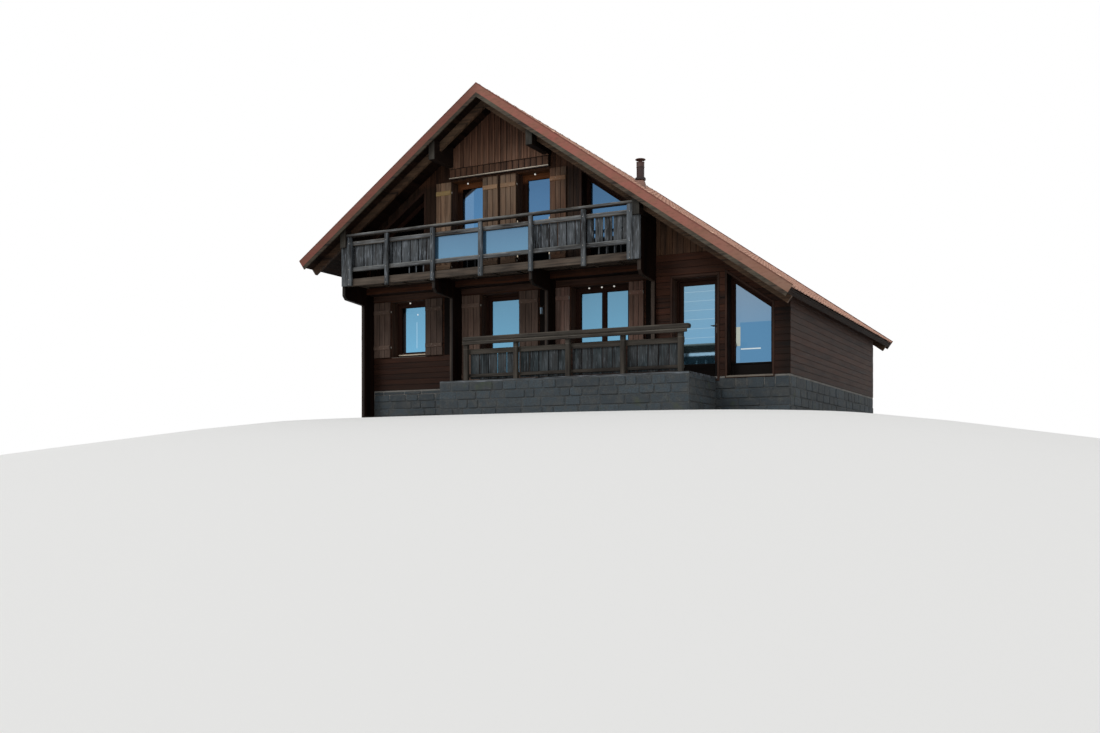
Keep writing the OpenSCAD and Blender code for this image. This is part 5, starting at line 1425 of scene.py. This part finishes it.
lamp = {"spots": [(-2.80, 0.47, 2.135), (2.03, 0.47, 2.135), (2.34, 0.47, 2.135), (2.64, 0.47, 2.135),
                  (-0.96, 0.16, 4.765), (0.82, 0.16, 4.765)],
        "base": [(0.016, 0.012), (0.022, 0.018), (0.022, 0.034), (0.0, 0.035)],
        "bulb": [(0.0, -0.022), (0.012, -0.019), (0.020, -0.008), (0.021, 0.002), (0.016, 0.013)]}
lantern = {"x": 0.955, "y": 0.20, "z": 1.66, "bars": 0.043,
           "roof": [(0.0, 0.078), (0.058, 0.078), (0.055, 0.085), (0.02, 0.12), (0.0, 0.135)],
           "foot": [(0.0, -0.085), (0.032, -0.08), (0.036, -0.066), (0.0, -0.066)],
           "glass": [(0.0, -0.065), (0.026, -0.065), (0.030, 0.077), (0.0, 0.077)]}


def lamps():
    bulbs, bases, shade = Shape(), Shape(), Shape()

    def turn(shape, x, y, z, profile, count):
        lathe(shape, x, y, [(r, z + h) for r, h in profile], count)

    for x, y, z in lamp["spots"]:
        turn(bases, x, y, z, lamp["base"], 16)
        turn(bulbs, x, y, z, lamp["bulb"], 16)
    x, y, z = lantern["x"], lantern["y"], lantern["z"]
    timber(bases, about(x, 0.035), (0.27, 0.29), (z - 0.07, z + 0.12), "z", 0.006)
    timber(bases, about(x, 0.009), (0.215, 0.275), (z + 0.085, z + 0.103), "y", 0.004)
    turn(bases, x, y, z, lantern["roof"], 6)
    turn(bases, x, y, z, lantern["foot"], 6)
    for barX, barY in circle(x, y, lantern["bars"], 6):
        turn(bases, barX, barY, z, [(0.004, -0.066), (0.004, 0.078)], 6)
    turn(shade, x, y, z, lantern["glass"], 6)
    finishPiece(bulbs, "lamp_bulbs", "lampGlass", smooth=60)
    finishPiece(bases, "lamp_fittings", "darkMetal", smooth=35)
    finishPiece(shade, "lantern_glass", "lanternGlass")


# masonry: courses of rough blocks over the plain base walls, with gaps where the wing walls stand
masonry = {"foot": -0.798, "top": -0.03, "terraceTop": -0.052, "gap": 0.006, "course": (0.14, 0.21),
           "length": (0.22, 0.62), "proud": (0.006, 0.024),
           "gaps": [(-3.84, -3.74), (-1.30, -1.20), (1.20, 1.30), (3.74, 3.84)]}


def masonryCourses():
    shape, chance, gap = Shape(), random.Random(81), masonry["gap"]
    top, terraceTop = masonry["top"], masonry["terraceTop"]
    faces = [(bay, -wallX, wallX, top), (front, wallX, sideX, top), (right, 0.0, rearY, top),
             (rear, -wallX, sideX, top), (left, bayY, rearY, top), (alongX(-1.6, -1), -0.6, 5.15, terraceTop),
             (alongY(-0.6, -1), -1.6, 0.27, terraceTop), (alongY(5.15, 1), -1.6, -0.03, terraceTop)]
    for place, u0, u1, z1 in faces:
        gaps = masonry["gaps"] if place is bay else []
        heights = [masonry["foot"]]
        while heights[-1] < z1 - 0.24:
            heights.append(heights[-1] + chance.uniform(*masonry["course"]))
        heights.append(z1)
        for low, high in pairs(heights):
            u = u0
            while u < u1 - 0.01:
                end = min(u1, u + chance.uniform(*masonry["length"]))
                end = u1 if u1 - end < 0.16 else end
                proud, pieces = chance.uniform(*masonry["proud"]), [(u, end)]
                if any(a < end and b > u for a, b in gaps):
                    spans = zip([(u, u)] + gaps, gaps + [(end, end)])
                    pieces = [(max(u, b), min(end, c)) for (_, b), (c, _) in spans]
                    pieces = [(a, b) for a, b in pieces if b - a > 0.05]
                for a, b in pieces:
                    stoneFace(shape, place, chance, a + gap, b - gap, low + gap, high - gap, proud)
                u = end
    finishPiece(shape, "masonry_courses", "stoneBlock")


def stoneFace(shape, place, chance, u0, u1, z0, z1, proud):
    tone, middle = chance.random(), ((u0 + u1) / 2, (z0 + z1) / 2)
    ring = cutCorners(u0, u1, z0, z1, min(0.018, (z1 - z0) / 5))
    inner = [(middle[0] + (p[0] - middle[0]) * 0.9 + chance.uniform(-0.006, 0.006),
              middle[1] + (p[1] - middle[1]) * 0.86) for p in ring]
    high = [proud + chance.uniform(-0.004, 0.004) for _ in ring]
    for i in range(8):
        j = (i + 1) % 8
        rim = [place(*inner[j], high[j]), place(*inner[i], high[i])]
        shape.face([place(*ring[i], 0.001), place(*ring[j], 0.001), *rim],
                   [ring[i], ring[j], inner[j], inner[i]], tone)
        shape.face([*rim[::-1], place(*middle, proud)], [inner[i], inner[j], middle], tone)


windows()
doorLeaf("french_door", "garden", bayY, bay)
doorLeaf("extension_door", "extensionDoor", 0.0, front)
for build in (doorTrim, casings, linings, sideShadeBoards, wingEdges, purlinEnds, flue, lamps, masonryCourses):
    build()
print("stage: openings, flue, lamps and masonry built")

# finishes of the CAD nodes
nodeFinishes = {
    "wallBacking": ["front_wall_left", "front_wall_right", "front_wall_lintel", "extension_wall_left",
                    "extension_wall_lintel", "extension_wall_right", "left_wall", "right_wall", "rear_wall",
                    "upper_front_wall", "gable_panel", "upper_floor"],
    "wingPlank": ["outer_wing_walls", "inner_wing_walls"],
    "beamTimber": ["purlins"],
    "rafterTimber": ["overhang_rafters"],
    "soffitBoard": ["roof_left", "roof_right"],
    "vergePaint": ["verge_boards"],
    "bareBoard": ["verge_trims"],
    "concrete": ["ground_floor"],
    "mortar": ["foundation", "terrace_base"],
    "darkMetal": ["chimney", "door_hinges", "shutter_pintles"],
    "dripRail": ["drip_rail"],
    "clearPanel": ["balcony_panels"],
    "upperGlass": ["upper_glass"],
    "groundGlass": ["ground_glass", "french_door_glass"],
    "doorGlass": ["extension_door_glass"],
    "joineryCad": ["gable_windows", "front_windows", "rear_and_side_windows", "door_frames", "french_door",
                   "extension_door"],
    "doorSashCad": ["upper_doors"],
    "greyCadx": ["balcony_deck", "balcony_beam", "balcony_rails", "terrace_deck", "terrace_rails"],
    "greyCadz": ["balcony_posts", "balcony_boards", "terrace_posts", "terrace_boards"],
    "shutterCad": [name for name in nodes if "shutter" in name and name != "shutter_pintles"],
}
for finish, names in nodeFinishes.items():
    for name in names:
        nodes[name].data.materials.clear()
        nodes[name].data.materials.append(materials[finish])
print("stage: CAD nodes painted")

# stage: a pale floor that falls away, white sky and two soft suns
studio = {"world": 0.52, "key": ((0.45, 0.75, -0.75), 1.5, 20), "fill": ((-0.5, 0.7, -0.15), 0.35, 60),
          "floorSteps": [0, 0.7, 0.85, 1.0, 1.1, 1.3, 1.7, 2.4, 3.6, 6, 12], "floorMargin": 0.8,
          "floorZ": -0.002, "floorFall": 0.16, "floorReach": 1.5}


def makeFloor():
    low, high = cadBox
    centre, margin, steps = (low + high) / 2, studio["floorMargin"], studio["floorSteps"]
    reachX, reachY = (high.x - low.x) / 2 + margin, (high.y - low.y) / 2 + margin
    count, points, faces = 96, [], []
    for step in steps:
        for c, s in circle(0, 0, 1, count):
            rim = 1 / (abs(c / reachX) ** 4 + abs(s / reachY) ** 4) ** 0.25
            fall = max(0.0, rim * step - rim)
            drop = studio["floorFall"] * fall * fall / (fall + studio["floorReach"])
            points.append((centre.x + rim * c * step, centre.y + rim * s * step, studio["floorZ"] - drop))
    for k in range(0, (len(steps) - 1) * count, count):
        for i in range(count):
            j = (i + 1) % count
            faces.append((k + i, k + j, k + count + j, k + count + i))
    mesh = bpy.data.meshes.new("floor")
    mesh.from_pydata(points, [], faces)
    mesh.shade_smooth()
    net, shader = newMaterial("paleFloor")
    net.fill(shader, {"Base Color": (0.86, 0.86, 0.85), "Roughness": 0.9, "Specular IOR Level": 0.1})
    mesh.materials.append(materials["paleFloor"])
    floor = bpy.data.objects.new("floor", mesh)
    bpy.context.scene.collection.objects.link(floor)


def makeWorld():
    world = bpy.data.worlds.new("studio")
    bpy.context.scene.world = world
    world.use_nodes = True
    net = Net(world.node_tree)
    rays = net.node("LightPath").outputs
    seen = net.math("MAXIMUM", rays["Is Camera Ray"], rays["Is Glossy Ray"])
    seen = net.math("MAXIMUM", seen, rays["Is Transmission Ray"])
    strength = net.math("MULTIPLY_ADD", seen, 1.0 - studio["world"], studio["world"])
    net.fill(net.tree.nodes["Background"].inputs, {"Color": (1, 1, 1), "Strength": strength})


def addSun(name):
    aim, strength, angle = studio[name]
    light = bpy.data.lights.new(name, "SUN")
    light.energy, light.angle = strength, math.radians(angle)
    sun = bpy.data.objects.new(name, light)
    sun.rotation_euler = Vector(aim).to_track_quat("-Z", "Y").to_euler()
    bpy.context.scene.collection.objects.link(sun)


makeFloor()
makeWorld()
addSun("key")
addSun("fill")

view = {"place": (11.505, -25.76, -1.14), "turn": 27.28, "lens": 36, "shiftY": 103.5 / 1100}
cameraData = bpy.data.cameras.new("camera")
cameraData.sensor_width = 36
cameraData.lens = view["lens"]
cameraData.shift_y = view["shiftY"]
cameraData.clip_end = 300
camera = bpy.data.objects.new("camera", cameraData)
camera.location = view["place"]
camera.rotation_euler = (math.radians(90), 0, math.radians(view["turn"]))
bpy.context.scene.collection.objects.link(camera)
bpy.context.scene.camera = camera
bpy.context.scene.view_settings.view_transform = "Standard"
print("stage: camera and lights set")
